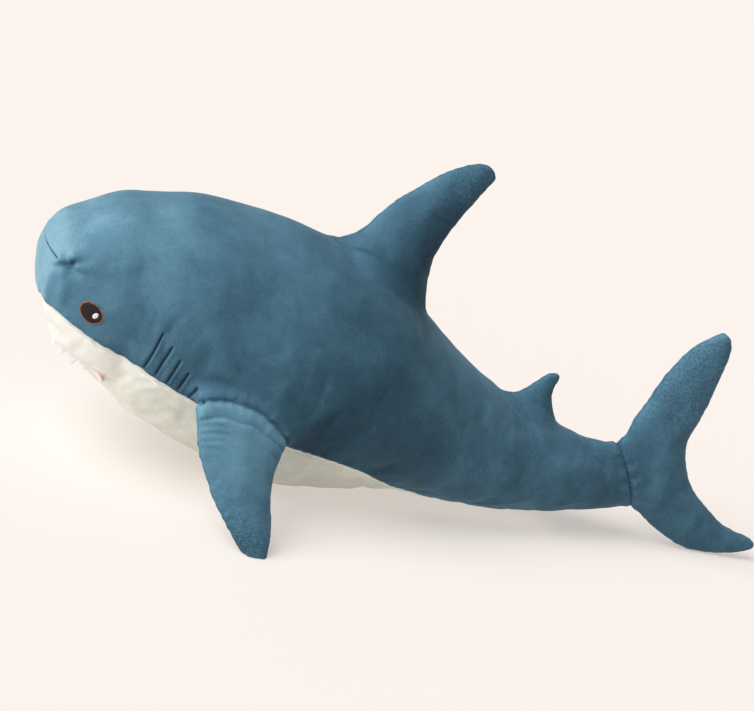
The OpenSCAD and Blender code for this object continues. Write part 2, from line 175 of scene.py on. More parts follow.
def blunted(p):
    """Gives the snout its flat front with two upright edges, and sets the front of the jaw back."""
    x, y, z = p.T
    front = smooth(x, 62, 18)
    centre = 1.0 * smooth(z, 136, 148) * smooth(z, 205, 180) + JAW_CUT * smooth(z, 150, 112)
    corner = -(5 + 2 * smooth(z, 145, 162) + 5 * smooth(z, 140, 108)) * smooth(z, 210, 172) \
        * bell(np.abs(y) - SNOUT_EDGE, 22)
    brow = -BROW_DROP * bell(x - 28, 28) * smooth(z, 190, 212)
    return np.stack([x + front * (centre + corner), y, z + brow], 1)


def body_ring(t, steps):
    """Ring of the body's section at t: rows of the table from 0, the rounded snout from -1 to 0."""
    a = np.radians(np.arange(steps) * 360 / steps)
    if t >= 0:
        x, top, bottom, half, lean = spline_rows(BODY, t)[0]
    else:
        turn = math.radians(90 * (t + 1))
        q = math.sin(turn) ** SNOUT_ROUND
        x0, top0, bottom0, half0, lean = BODY[0]
        x = x0 * (1 - math.cos(turn) ** SNOUT_ROUND)
        top, bottom = NOSE_Z + (top0 - NOSE_Z) * q, NOSE_Z + (bottom0 - NOSE_Z) * q
        half = half0 * q
    mid = bottom + WIDEST * (top - bottom)
    keel = 1 + 0.5 * bell(x - 290, 60)
    z = mid + np.where(np.sin(a) > 0, (top - mid) * np.sin(a), -(mid - bottom) * np.abs(np.sin(a)) ** keel)
    z = np.maximum(z, 0)
    return blunted(np.stack([x - lean * (z - mid), half * np.cos(a), z], 1))


def ring_faces(rings, n, first=0):
    """Quads between rings of n points that follow one another."""
    starts = range(first, first + (rings - 1) * n, n)
    return [(a + j, a + (j + 1) % n, a + n + (j + 1) % n, a + n + j) for a in starts for j in range(n)]


def loft(rings):
    """Closed mesh through rings of the same length: its points and faces."""
    m, n = len(rings), len(rings[0])
    caps = [tuple(range(n - 1, -1, -1)), tuple(range((m - 1) * n, m * n))]
    return np.concatenate(rings), ring_faces(m, n) + caps


def body_form():
    ts = np.concatenate([np.linspace(-0.985, 0, 26)[:-1], np.linspace(0, len(BODY) - 1, 110)])
    return loft([body_ring(t, 96) for t in ts])


class FinFrame:
    """Axes of a fin: along its chord, through its thickness, and up from its root."""

    def __init__(self, joint, chord, up):
        self.root = millimetres(JOINTS[joint]["pos_m"])
        self.chord, self.up = np.array(chord), np.array(up)
        self.across = np.cross(self.up, self.chord)

    def out(self, s, d, h):
        return (self.root + np.multiply.outer(s, self.chord) + np.multiply.outer(d, self.across)
            + np.multiply.outer(h, self.up))

    def into(self, p):
        q = np.asarray(p) - self.root
        return q @ self.chord, q @ self.across, q @ self.up


def pitched(slope):
    """Directions along and up from a line that falls toward the rear by the slope in degrees."""
    c, s = math.cos(math.radians(slope)), math.sin(math.radians(slope))
    return (c, 0, -s), (s, 0, c)


def pectoral_frame(side):
    chord, (s, _, c) = pitched(PECTORAL_SLOPE)
    out, down = math.sin(math.radians(PECTORAL_DROOP)), -math.cos(math.radians(PECTORAL_DROOP))
    return FinFrame(SIDES[side] + "_pectoral_fin_flap", chord, (down * s, side * out, down * c))


DORSAL_AT = FinFrame("dorsal_fin_flop", *pitched(DORSAL_SLOPE))
REAR_AT = FinFrame("rear_dorsal_fin_flop", *pitched(REAR_SLOPE))
PECTORAL_AT = {side: pectoral_frame(side) for side in SIDES}
TAIL_AT = FinFrame("tail_fin_sway", *pitched(-TAIL_LEAN))
TAIL_SEAM_AT = -6.0            # the tail's seam, ahead of the fin's axis
LIP_BACK, LIP_UP = (np.array(way) for way in pitched(LIP_SLOPE))
FIN_TURN = np.radians(np.arange(48) * 7.5)


def fin_form(at, table, outer=1):
    """A stuffed fin as a closed form; outer is the sign of its outer side."""
    rings = []
    for row in spline_rows(table, np.linspace(0, len(table) - 1, 60)):
        h, lead, trail, half = row[:4]
        s = (lead + trail) / 2 + (trail - lead) / 2 * np.cos(FIN_TURN)
        shift = outer * row[4] if len(row) > 4 else 0
        rings.append(at.out(s, half * np.sin(FIN_TURN) + shift, np.full(len(FIN_TURN), h)))
    return loft(rings)


def tail_fin_form():
    rings = []
    for fx, fz, rx, rz, half in spline_rows(TAIL_FIN, np.linspace(0, len(TAIL_FIN) - 1, 80)):
        f, r = np.array([fx, 0, fz]), np.array([rx, 0, rz])
        rings.append((f + r) / 2 + np.multiply.outer(np.cos(FIN_TURN), (r - f) / 2)
            + np.multiply.outer(np.sin(FIN_TURN) * half, [0, 1, 0]))
    return loft(rings)


# ---- meshes ----

def read(items, name, width=1, kind=np.int32):
    """One value, or vector, of each item of a mesh."""
    values = np.zeros(len(items) * width, kind)
    items.foreach_get(name, values)
    return values.reshape(-1, width) if width > 1 else values


def store(mesh, name, values, kind="FLOAT", domain="POINT"):
    layer = mesh.attributes.new(name, kind, domain)
    layer.data.foreach_set("value", values.astype(np.float32 if kind == "FLOAT" else np.int32))


@contextmanager
def editing(mesh, write=True):
    """The mesh as a BMesh, which is written back unless it is only read."""
    bm = bmesh.new()
    bm.from_mesh(mesh)
    yield bm
    if write:
        bm.to_mesh(mesh)
    bm.free()


def coords(mesh):
    """A mesh's points in the pattern's millimetres."""
    return millimetres(read(mesh.vertices, "co", 3, np.float32))


def set_coords(mesh, points):
    mesh.vertices.foreach_set("co", metres(points).astype(np.float32).ravel())
    mesh.update()


def linked(name, data):
    obj = bpy.data.objects.new(name, data)
    bpy.context.scene.collection.objects.link(obj)
    return obj


def new_object(name, points, faces):
    mesh = bpy.data.meshes.new(name)
    mesh.from_pydata(metres(points).tolist(), [], [list(map(int, f)) for f in faces])
    mesh.validate()
    return linked(name, mesh)


def evaluated(obj):
    """The object's mesh with its modifiers applied, as new data."""
    dg = bpy.context.evaluated_depsgraph_get()
    return bpy.data.meshes.new_from_object(obj.evaluated_get(dg))


def apply_modifiers(obj):
    old, obj.data = obj.data, evaluated(obj)
    obj.modifiers.clear()
    bpy.data.meshes.remove(old)


def subdivide(obj):
    sub = obj.modifiers.new("Subdivision", "SUBSURF")
    sub.levels = sub.render_levels = 1
    apply_modifiers(obj)


def normals(mesh):
    return read(mesh.vertices, "normal", 3, np.float32).astype(float)


def edges_of(mesh):
    return read(mesh.edges, "vertices", 2)


def relax(points, edges, weight, rounds):
    """Moves each point toward the mean of its neighbours, by its weight."""
    count = np.bincount(edges.ravel(), minlength=len(points)).astype(float)
    for _ in range(rounds):
        total = np.zeros_like(points)
        np.add.at(total, edges[:, 0], points[edges[:, 1]])
        np.add.at(total, edges[:, 1], points[edges[:, 0]])
        points = points + (total / count[:, None] - points) * weight[:, None]
    return points


# ---- the seams, as fields that are zero on them ----

def footprint(at, p, centre, half_chord, half_thick, deepest):
    """Under zero inside the oval where a fin is sewn on, as a rough distance, and all over the fin."""
    s, d, h = at.into(p)
    r = np.sqrt(((s - centre) / half_chord) ** 2 + (d / half_thick) ** 2)
    return np.where(h < deepest, 50.0, (r - 1) * half_thick)


def dorsal_field(p):
    return footprint(DORSAL_AT, p, -7, 61, 29, -45)


def rear_field(p):
    return footprint(REAR_AT, p, 0, 30, 11.5, -24)


def pectoral_field(p, side):
    """Under zero on a pectoral fin: its seam arches over the shoulder and closes on the inner side."""
    s, d, h = PECTORAL_AT[side].into(p)
    arch = -9 + 13 * ((s + 13) / 45) ** 2
    r = np.sqrt(((s + 7) / 57) ** 2 + (d / 17) ** 2)
    return np.maximum(0.9 * (arch - h), (r - 1) * 12.5)


def tail_field(p):
    return TAIL_SEAM_AT - TAIL_AT.into(p)[0]


def fin_fields(p):
    """The fields of the dorsal, rear dorsal, tail and pectoral fins."""
    return [dorsal_field(p), rear_field(p), tail_field(p), pectoral_field(p, -1), pectoral_field(p, 1)]


def colour_field(p):
    dip = 12 * smooth(p[:, 0], 30, 8) * bell(p[:, 1], 34)
    return (seam_height(p[:, 0]) - dip - p[:, 2]) * 0.9


def mouth_axes(p):
    """How far each point lies behind the mouth's corners, and above the plane of the lip."""
    q = np.asarray(p) - MOUTH_CORNER
    return q @ LIP_BACK, q @ LIP_UP


def cut(bm, field, near=None):
    """Cuts the mesh along the zero of a field and marks the points there; near says where it may cut."""
    mark = bm.verts.layers.int.get("seam") or bm.verts.layers.int.new("seam")
    verts = list(bm.verts)
    p = millimetres([v.co for v in verts])
    value = field(p)
    allowed = np.ones(len(p), bool) if near is None else near(p)
    bm.verts.index_update()
    crossing = [e for e in bm.edges if value[e.verts[0].index] * value[e.verts[1].index] < 0
        and allowed[e.verts[0].index] and allowed[e.verts[1].index]]
    on = set()
    for e in crossing:  # a point that nearly lies on the seam moves onto it
        i, j = (v.index for v in e.verts)
        f = value[i] / (value[i] - value[j])
        k, o, share = (i, j, f) if f < 0.5 else (j, i, 1 - f)
        if share < SNAP and verts[k] not in on and not (verts[k][mark] and not verts[o][mark]):
            verts[k].co = verts[k].co.lerp(verts[o].co, share)
            on.add(verts[k])
    for v in on:
        value[v.index] = 0
    for e in crossing:
        first = e.verts[0]
        i, j = (v.index for v in e.verts)
        if value[i] * value[j] < 0:
            on.add(bmesh.utils.edge_split(e, first, value[i] / (value[i] - value[j]))[1])
    for v in on:
        v[mark] = 1
    for face in [f for f in bm.faces if len(f.verts) > 3]:
        hit = [v for v in face.verts if v in on]
        if len(hit) == 2 and not any(e.other_vert(hit[0]) is hit[1] for e in hit[0].link_edges):
            bmesh.utils.face_split(face, hit[0], hit[1])


PANELS = ["back_cover", "underside_cover", "dorsal_fin_left_cover", "dorsal_fin_right_cover",
    "rear_dorsal_left_cover", "rear_dorsal_right_cover", "left_pectoral_upper_cover",
    "left_pectoral_lower_cover", "right_pectoral_upper_cover", "right_pectoral_lower_cover",
    "tail_fin_left_cover", "tail_fin_right_cover"]
UNDERSIDE = 1
PECTORAL_PANELS = {-1: (6, 7), 1: (8, 9)}
TAIL_SEAMS = ((0, 10), (0, 11))
ROOT_REACH = (26, 9, 16, 12, 12)       # how far the skin is smoothed beside each field of fin_fields
ALL_RELAX, ROOT_RELAX = 0.12, 0.55


def panel_of(p):
    """Number of the panel that each point of the skin belongs to."""
    n = np.where(colour_field(p) > 0, 1, 0)
    right = p[:, 1] > 0
    n = np.where(dorsal_field(p) < 0, 2 + right, n)
    n = np.where(rear_field(p) < 0, 4 + right, n)
    for side, first in ((-1, 6), (1, 8)):
        across = PECTORAL_AT[side].into(p)[1]
        n = np.where(pectoral_field(p, side) < 0, first + (across * side > 0), n)
    return np.where(tail_field(p) < 0, 10 + right, n)


def whole_skin():
    """One closed skin round the body and all of its fins."""
    points, faces, start = [], [], 0
    forms = [body_form(), fin_form(DORSAL_AT, DORSAL), fin_form(REAR_AT, REAR_DORSAL), tail_fin_form()]
    forms += [fin_form(PECTORAL_AT[side], PECTORAL, -side) for side in SIDES]
    for p, f in forms:
        points.append(p)
        faces += [tuple(i + start for i in face) for face in f]
        start += len(p)
    obj = new_object("skin", np.concatenate(points), faces)
    mod = obj.modifiers.new("Remesh", "REMESH")
    mod.mode, mod.voxel_size, mod.adaptivity = "VOXEL", VOXEL * MM, 0
    apply_modifiers(obj)
    p = coords(obj.data)
    roots = np.zeros(len(p))
    for value, reach in zip(fin_fields(p), ROOT_REACH):
        roots = np.maximum(roots, bell(value, reach))
    edges = edges_of(obj.data)
    p = relax(p, edges, np.full(len(p), ALL_RELAX), 4)
    p = relax(p, edges, ROOT_RELAX * roots, 20)
    set_coords(obj.data, p)
    return obj


def sewn(mesh):
    """Cuts the skin along every seam."""
    with editing(mesh) as bm:
        cut(bm, dorsal_field)
        cut(bm, rear_field)
        cut(bm, tail_field)
        for side in SIDES:
            cut(bm, lambda p: pectoral_field(p, side))
            cut(bm, lambda p: PECTORAL_AT[side].into(p)[1], lambda p: pectoral_field(p, side) < 0.01)
        cut(bm, lambda p: p[:, 1], lambda p: (dorsal_field(p) < 0.01) | (rear_field(p) < 0.01)
            | (tail_field(p) < 0.01))
        cut(bm, colour_field, lambda p: (tail_field(p) > -0.01) & (pectoral_field(p, -1) > -0.01)
            & (pectoral_field(p, 1) > -0.01))
        cut(bm, lambda p: mouth_axes(p)[1], lambda p: (mouth_axes(p)[0] < 3) & (colour_field(p) > 0))


PRESSURE, CLOTH_MASS, CLOTH_FRAMES = 10, 0.01, 20
SLACK = 0.03                   # the panels are cut this share larger than they lie, so they gather
SWELL_CAP = 6.0
SWELL_DROPPED = 0.85           # the fitted form already has its girth, so little of the swell is kept
FIN_FOLDS, REAR_FOLDS = 0.3, 0.5       # shares of the folds that the firm fins and the rear keep
REST_HEIGHT = 0.5              # what lies lower than this rests on the floor


def puffed(obj):
    """Blows the skin up as cloth that is held at its seams."""
    start = coords(obj.data)
    sewn_down = read(obj.data.attributes["seam"].data, "value") > 0
    sim = linked("sim", obj.data.copy())
    held = np.nonzero(sewn_down | (start[:, 2] < REST_HEIGHT))[0]
    sim.vertex_groups.new(name="held").add(held.tolist(), 1.0, "REPLACE")
    cloth = sim.modifiers.new("Cloth", "CLOTH")
    settings = cloth.settings
    settings.vertex_group_mass, settings.mass = "held", CLOTH_MASS
    settings.use_pressure, settings.uniform_pressure_force = True, PRESSURE
    settings.shrink_min = settings.shrink_max = -SLACK
    settings.effector_weights.gravity = 0
    cloth.point_cache.frame_start, cloth.point_cache.frame_end = 1, CLOTH_FRAMES
    for f in range(1, CLOTH_FRAMES + 1):
        bpy.context.scene.frame_set(f)
    mesh = evaluated(sim)
    moved = coords(mesh) - start
    far = np.linalg.norm(moved, axis=1)
    moved *= (np.minimum(far, SWELL_CAP) / np.maximum(far, 1e-6))[:, None]
    moved -= SWELL_DROPPED * relax(moved, edges_of(mesh), 0.5 * ~sewn_down, 40)
    off_fins = smooth(np.minimum.reduce(fin_fields(start)), 2, 30)
    share = (FIN_FOLDS + (1 - FIN_FOLDS) * off_fins) * (1 - REAR_FOLDS * smooth(start[:, 0], 330, 420))
    bpy.context.scene.frame_set(1)
    bpy.data.objects.remove(sim)
    set_coords(obj.data, start + moved * share[:, None])


def on_panels(mesh, first, last):
    """Which points belong to the panels numbered first to last."""
    panel = read(mesh.attributes["panel"].data, "value")
    wanted = np.repeat((panel >= first) & (panel <= last), read(mesh.polygons, "loop_total"))
    on = np.zeros(len(mesh.vertices), bool)
    on[read(mesh.loops, "vertex_index")[wanted]] = True
    return on


def face_centres(mesh):
    return millimetres(read(mesh.polygons, "center", 3, np.float32))


def label_faces(mesh):
    """Stores each face's panel, and whether it is above the line of the lip."""
    centre = face_centres(mesh)
    behind, above = mouth_axes(centre)
    panel = panel_of(centre)
    store(mesh, "panel", panel, "INT", "FACE")
    store(mesh, "above_lip", (above > 0) & (behind < 3) & (panel == UNDERSIDE), "INT", "FACE")


def open_mouth(mesh):
    """Splits the skin along the lip, ahead of the mouth's corners."""
    with editing(mesh) as bm:
        above, panel = bm.faces.layers.int["above_lip"], bm.faces.layers.int["panel"]
        slit = []
        for e in bm.edges:
            sides = e.link_faces
            if len(sides) == 2 and sides[0][panel] == sides[1][panel] == UNDERSIDE \
                    and sides[0][above] != sides[1][above] \
                    and mouth_axes(millimetres([v.co for v in e.verts]))[0].max() < 0.5:
                slit.append(e)
        bmesh.ops.split_edges(bm, edges=slit)


def finer(mesh, near):
    """Divides the faces that near() picks from their centres."""
    pick = near(face_centres(mesh))
    with editing(mesh) as bm:
        bm.faces.ensure_lookup_table()
        edges = {e for i in np.nonzero(pick)[0] for e in bm.faces[int(i)].edges}
        bmesh.ops.subdivide_edges(bm, edges=list(edges), cuts=1, use_grid_fill=True)


def seam_lines(mesh):
    """Points of each seam, by the pair of panels that meet there."""
    lines = {}
    with editing(mesh, write=False) as bm:
        panel = bm.faces.layers.int["panel"]
        for e in bm.edges:
            numbers = sorted(f[panel] for f in e.link_faces)
            if len(numbers) == 2 and numbers[0] != numbers[1]:
                lines.setdefault(tuple(numbers), []).append((e.verts[0].co + e.verts[1].co) / 2)
    return {pair: millimetres(points) for pair, points in lines.items()}


def pectoral_ring(lines, side):
    """Points of the seam round the root of a pectoral fin."""
    pairs = [(first, second) for first in (0, 1) for second in PECTORAL_PANELS[side]]
    return np.concatenate([lines[pair] for pair in pairs if pair in lines])


def tree_of(points):
    tree = KDTree(len(points))
    for i, p in enumerate(points):
        tree.insert(p, i)
    tree.balance()
    return tree


def nearest(points, line, reach):
    """Index of each point's nearest on the line, and how far it is; further than reach counts as far."""
    far = np.full(len(points), 1e3)
    index = np.zeros(len(points), int)
    low, high = line.min(0) - reach, line.max(0) + reach
    tree = tree_of(line)
    for i in np.nonzero(((points > low) & (points < high)).all(1))[0]:
        _, k, d = tree.find(points[i])
        if d < reach:
            far[i], index[i] = d, k
    return index, far


def noise_at(points, size, seed):
    """Smooth noise from about -1 to 1, with lumps of the given size in millimetres."""
    q = np.asarray(points) / size + seed
    return np.array([perlin(Vector(p)) for p in q]) * 1.6


def noise_along(values, axis, size, seed):
    """The same noise for places on one axis."""
    points = np.zeros((len(values), 3))
    points[:, axis] = values
    return noise_at(points, size, seed)


# Each kind of seam: depth, width, swell beside it, puckers and their pitch
COLOURS_MEET = (1.3, 1.6, 0.4, 0.25, 8.0)
FIN_ROOT = (1.8, 2.2, 0.7, 0.6, 8.0)
TAIL_ROOT = (2.6, 2.2, 0.7, 1.2, 9.0)
FIN_EDGE = (0.9, 1.6, 0.2, 0.3, 6.0)


def seam_kind(pair):
    if pair[0] > UNDERSIDE:
        return FIN_EDGE
    if pair[1] == UNDERSIDE:
        return COLOURS_MEET
    return TAIL_ROOT if pair in TAIL_SEAMS else FIN_ROOT


def seam_strength(pair, p):
    """How much a seam shows: the back fins' roots sink in at the front and are lost in the pile behind."""
    if pair[0] <= UNDERSIDE and pair[1] in (2, 3):
        return 0.08 + 0.5 * smooth(DORSAL_AT.into(p)[0], -22, -46)
    return np.full(len(p), 0.15 if pair[0] <= UNDERSIDE and pair[1] in (4, 5) else 1.0)


def seam_offsets(p, lines):
    """How far the stitching pulls each point in, with the puckers that fan out from it."""
    off = np.zeros(len(p))
    for pair, line in lines.items():
        depth, width, swell, pucker, pitch = seam_kind(pair)
        index, d = nearest(p, line, 9 * width)
        gather = noise_at(line, pitch, 3.1)[index]
        beside = noise_at(line, pitch * 0.8, 11.7)[index]
        shape = -depth * (1 + 0.3 * gather) * bell(d, width) + swell * bell(d - 2.8 * width, 1.8 * width) \
            + pucker * beside * smooth(d, 0.3 * width, 1.6 * width) * smooth(d, 8 * width, 2 * width)
        off += np.where(d < 9 * width, seam_strength(pair, p) * shape, 0)
    return off


GILLS = 5
GILL_FOOT, GILL_STEP = (97.0, 116.0), (11.0, -4.1)
GILL_FIRST, GILL_LAST, GILL_LEAN = 38.0, 15.0, math.radians(12)


def gill_line(i):
    """Foot and length of the i-th gill tuck."""
    return np.array(GILL_FOOT) + i * np.array(GILL_STEP), \
        GILL_FIRST + (GILL_LAST - GILL_FIRST) * i / (GILLS - 1)


def gill_axes(p, i):
    """How far each point lies behind the i-th gill tuck, and its share of the way up it."""
    foot, reach = gill_line(i)
    dx, dz = p[:, 0] - foot[0], p[:, 2] - foot[1]
    s, c = math.sin(GILL_LEAN), math.cos(GILL_LEAN)
    return dx * c - dz * s, (dx * s + dz * c) / reach


def near_gills(p):
    near = np.zeros(len(p), bool)
    for i in range(GILLS):
        behind, up = gill_axes(p, i)
        near |= (np.abs(behind) < 8) & (up > -0.2) & (up < 1.2)
    return near & (np.abs(p[:, 1]) > 60) & (p[:, 2] > 70)


def gill_offsets(p):
    """Tucks: a sharp fold that falls into a stitched line on its front side."""
    off = np.zeros(len(p))
    on = near_gills(p)
    for i in range(GILLS):
        behind, up = gill_axes(p, i)
        along = smooth(up, -0.1, 0.12) * smooth(up, 1.05, 0.9)
        off += on * along * (-1.4 * bell(behind + 0.2, 1.0) + 0.6 * bell(behind - 2.2, 1.6)
            + 0.3 * bell(behind + 4, 2.4))
    return off


DART_HALF, DART_Z = 51.0, 185.5  # half length and height of the snout's dart
DIMPLE = 8.0                   # the dart gathers in a dimple this far beyond its end


def dart_axes(p):
    """Height above the snout's dart, and the distance beyond its end."""
    return p[:, 2] - DART_Z, np.abs(p[:, 1]) - DART_HALF


def near_dart(p):
    above, beyond = dart_axes(p)
    return (np.abs(above) < 14) & (beyond < 20) & (p[:, 0] < 36)


def dart_offsets(p):
    """The dart across the snout, puckered at its ends, and the soft ridge that runs down from each end."""
    above, beyond = dart_axes(p)
    front = smooth(p[:, 0], 42, 30)
    gather = noise_along(p[:, 1], 1, 6.5, 5.3)
    off = front * smooth(beyond, 2, -5) * (-1.7 * bell(above, 1.4) + (0.6 + 0.3 * gather) * bell(above - 4, 3)
        + (0.4 - 0.3 * gather) * bell(above + 4.5, 3))
    r, turn = np.hypot(beyond - DIMPLE, above), np.arctan2(above, beyond - DIMPLE)
    creases = np.cos(4 * turn + 0.7 * np.sign(p[:, 1]))
    off += front * (-3.4 * bell(r, 3.6) + 1.4 * creases * bell(r - 7.5, 5))
    ridge = p[:, 0] - (13 + 0.11 * (184 - p[:, 2]))
    off += 1.6 * bell(ridge - 1, 5) * smooth(p[:, 2], 146, 160) * smooth(p[:, 2], 186, 172) \
        * smooth(np.abs(p[:, 1]), 30, 45)
    return off


def root_folds(p, side, line, face):
    """Folds round a drooping fin's root: distance from the seam, the same in rolls, and their strength."""
    at = PECTORAL_AT[side]
    s, d, h = at.into(p)
    ring_s, ring_d, ring_h = at.into(line)
    pick = ring_d * face > 0
    order = np.argsort(ring_s[pick])
    g = h - np.interp(s, ring_s[pick][order], ring_h[pick][order])
    wander = noise_along(s, 0, 26, 2.0 + face) * smooth(g, 2, 14) * 2.2
    rolls = (g + wander) / np.clip(13.5 - 0.11 * s, 8, 20)
    return g, rolls, smooth(g, 36, 12) * smooth(g, 0, 2) * (d * face > 0) * (h > -40)


def pectoral_offsets(p, side, line, inside):
    """Folds round the root of a drooping fin, and the small creases at its leading edge."""
    s, d, h = PECTORAL_AT[side].into(p)
    off = np.zeros(len(p))
    for face in (-1, 1):
        g, rolls, strength = root_folds(p, side, line, face)
        size = 2.6 if face * side < 0 else 1.5
        folds = size * strength * (np.abs(np.sin(math.pi * rolls)) - 0.62)
        creases = 0.8 * np.cos(2 * math.pi * (g + 2 * rolls) / 8)
        where = smooth(s, -18, -40) * smooth(g, 58, 34) * smooth(g, 12, 20) * (d * face > 0) * (h > -40)
        off += inside * (folds + creases * where) * smooth(np.abs(d), 1, 6)
    return off


def body_offsets(p):
    """Soft lumps of the filling under the fabric, and the slack waves on the flanks."""
    lumps = 0.9 * noise_at(p, 48, 1.3) + 0.25 * noise_at(p, 19, 4.2)
    waves = 0.5 * noise_at(p * [1, 0.25, 0.22], 19, 8.8)
    flank = smooth(p[:, 0], 120, 170) * smooth(p[:, 0], 560, 480)
    off = lumps + waves * flank
    snout = smooth(p[:, 0], 34, 4)
    corner = 1.6 * bell(np.abs(p[:, 1]) - 52, 7) - 0.8 * bell(np.abs(p[:, 1]) - 38, 10)
    return off * smooth(p[:, 2], 2, 14) + corner * snout * smooth(p[:, 2], 125, 145) \
        * smooth(p[:, 2], 196, 172)


def detailed(obj):
    """Subdivides the skin and pulls in its seams, tucks and folds."""
    open_mouth(obj.data)
    subdivide(obj)
    mesh = obj.data
    seams = tree_of(np.concatenate(list(seam_lines(mesh).values())))
    finer(mesh, lambda c: np.array([seams.find(p)[2] < 4.5 for p in c]) | near_gills(c) | near_dart(c))
    finer(mesh, lambda c: near_gills(c) & (c[:, 2] > seam_height(c[:, 0]) - 3))
    p, n = coords(mesh), normals(mesh)
    lines = seam_lines(mesh)
    off = seam_offsets(p, lines) + gill_offsets(p) + dart_offsets(p) + body_offsets(p)
    for side, ends in PECTORAL_PANELS.items():
        off += pectoral_offsets(p, side, pectoral_ring(lines, side), on_panels(mesh, *ends))
    p = p + n * off[:, None]
    p[:, 2] = np.maximum(p[:, 2], 0.2)
    set_coords(mesh, p)
    return lines


def lower_jaw(mesh):
    """Sets the lower jaw back and down, so that the upper lip stands over it."""
    with editing(mesh, write=False) as bm:
        above = bm.faces.layers.int["above_lip"]
        low = np.array([not any(f[above] for f in v.link_faces) for v in bm.verts])
    p = coords(mesh)
    a, c = mouth_axes(p)
    moving = low * (c < 4)
    push = JAW_FRONT * np.clip(1 - p[:, 0] / JAW_REACH, 0, 1) ** 1.15 \
        * smooth(a - 0.6 * np.maximum(-c - 4, 0), 0, -16)
    drop = JAW_DROP * smooth(a, 0, -7) * (1 - 0.7 * smooth(a, -12, -30)) * np.exp(np.minimum(c, 0) / 11)
    p += (push * moving)[:, None] * LIP_BACK - (drop * moving)[:, None] * LIP_UP
    x, y, z = p.T
    chin = CHIN_HEIGHT - CHIN_SLOPE * (x - CHIN_X) + CHIN_ROUND * y ** 2
    clipped = chin + 4 * np.logaddexp(0, (z - chin) / 4)
    p[:, 2] += smooth(x, 108, 88) * smooth(np.abs(y), 66, 48) * moving * (clipped - z)
    set_coords(mesh, p)


def split_panels(mesh):
    """One object for each panel."""
    made = {}
    with editing(mesh, write=False) as bm:
        for k, name in enumerate(PANELS):
            part = bm.copy()
            panel = part.faces.layers.int["panel"]
            bmesh.ops.delete(part, geom=[f for f in part.faces if f[panel] != k], context="FACES")
            made[name] = linked(name, bpy.data.meshes.new(name))
            part.to_mesh(made[name].data)
            part.free()
    return made


def finish_mesh(mesh):
    """Smooth shading, and the points' places at rest for the materials to follow."""
    mesh.polygons.foreach_set("use_smooth", np.ones(len(mesh.polygons), bool))
    rest = mesh.attributes.new("rest", "FLOAT_VECTOR", "POINT")
    rest.data.foreach_set("vector", read(mesh.vertices, "co", 3, np.float32).ravel())


# ---- the mouth, the eyes and the thread ----

def boundary_lips(mesh):
    """Points along the upper and the lower lip, each from the left corner of the mouth to the right one."""
    lips = []
    with editing(mesh, write=False) as bm:
        above = bm.faces.layers.int["above_lip"]
        for kind in (1, 0):
            chain = {}
            for e in bm.edges:
                if len(e.link_faces) == 1 and e.link_faces[0][above] == kind:
                    a, b = e.verts
                    chain.setdefault(a, []).append(b)
                    chain.setdefault(b, []).append(a)
            v = min((v for v in chain if len(chain[v]) == 1), key=lambda v: v.co.y)
            path = {}
            while v is not None:
                path[v] = tuple(v.co)
                v = next((w for w in chain[v] if w not in path), None)
            lips.append(resampled(millimetres(list(path.values())), LIP_COLUMNS))
    return lips


def run_along(line):
    """How far along the line each of its points lies."""
    return np.concatenate([[0], np.cumsum(np.linalg.norm(np.diff(line, axis=0), axis=1))])


def at_run(values, run, at):
    return np.stack([np.interp(at, run, values[:, k]) for k in range(3)], 1)


def resampled(line, count):
    """The line with count points, evenly spaced."""
    run = run_along(line)
    return at_run(line, run, np.linspace(0, run[-1], count))


def unit(v):
    v = np.asarray(v, float)
    return v / np.maximum(np.linalg.norm(v, axis=-1, keepdims=True), 1e-9)


def grid_faces(rows, columns):
    return [(r * columns + c, r * columns + c + 1, (r + 1) * columns + c + 1, (r + 1) * columns + c)
        for r in range(rows - 1) for c in range(columns - 1)]


LIP_COLUMNS = 97
CORNER_SPAN = 8                # the lining shows at this many columns beside each corner of the mouth


def mouth_lining(upper, lower):
    """The rolled lips, and the pocket that joins them inside the mouth."""
    middle = MOUTH_CORNER + 24 * LIP_BACK
    inward, low_inward = unit(middle - upper), unit(middle - lower)
    along = np.abs(np.linspace(-1, 1, len(upper)))[:, None]
    deep = 2.2 + 4.5 * smooth(along, 0.9, 0.6)
    rows = [upper] + [upper + a * inward + b * LIP_UP for a, b in ((0.8, -0.6), (2.0, -0.4), (3.2, 0.4))]
    rows += [(2 * upper + lower) / 3 + deep * inward, (upper + 2 * lower) / 3 + deep * low_inward]
    rows += [lower + a * low_inward + b * LIP_UP for a, b in ((3.2, -0.4), (2.0, 0.3), (0.8, 0.3))] + [lower]
    obj = new_object("mouth_lining_piece", np.concatenate(rows), grid_faces(len(rows), len(upper)))
    rolled = len(upper) - 1
    for k, face in enumerate(obj.data.polygons):
        rim = k // rolled in (0, 1, len(rows) - 3, len(rows) - 2)
        face.material_index = 1 if rim and CORNER_SPAN < k % rolled < rolled - 1 - CORNER_SPAN else 0
    subdivide(obj)
    return obj


TEETH = 13
TOOTH_LENGTH = 9.5
TOOTH_COLUMNS = 12
TOOTH_WAY = np.array([0.12, 0, -0.993])
TOOTH_ROWS = (-0.35, -0.12, 0.0, 0.25, 0.5, 0.75, 0.93, 1.0)   # shares of a tooth's length
FELT_INSET, FELT_HALF = 2.3, 0.65


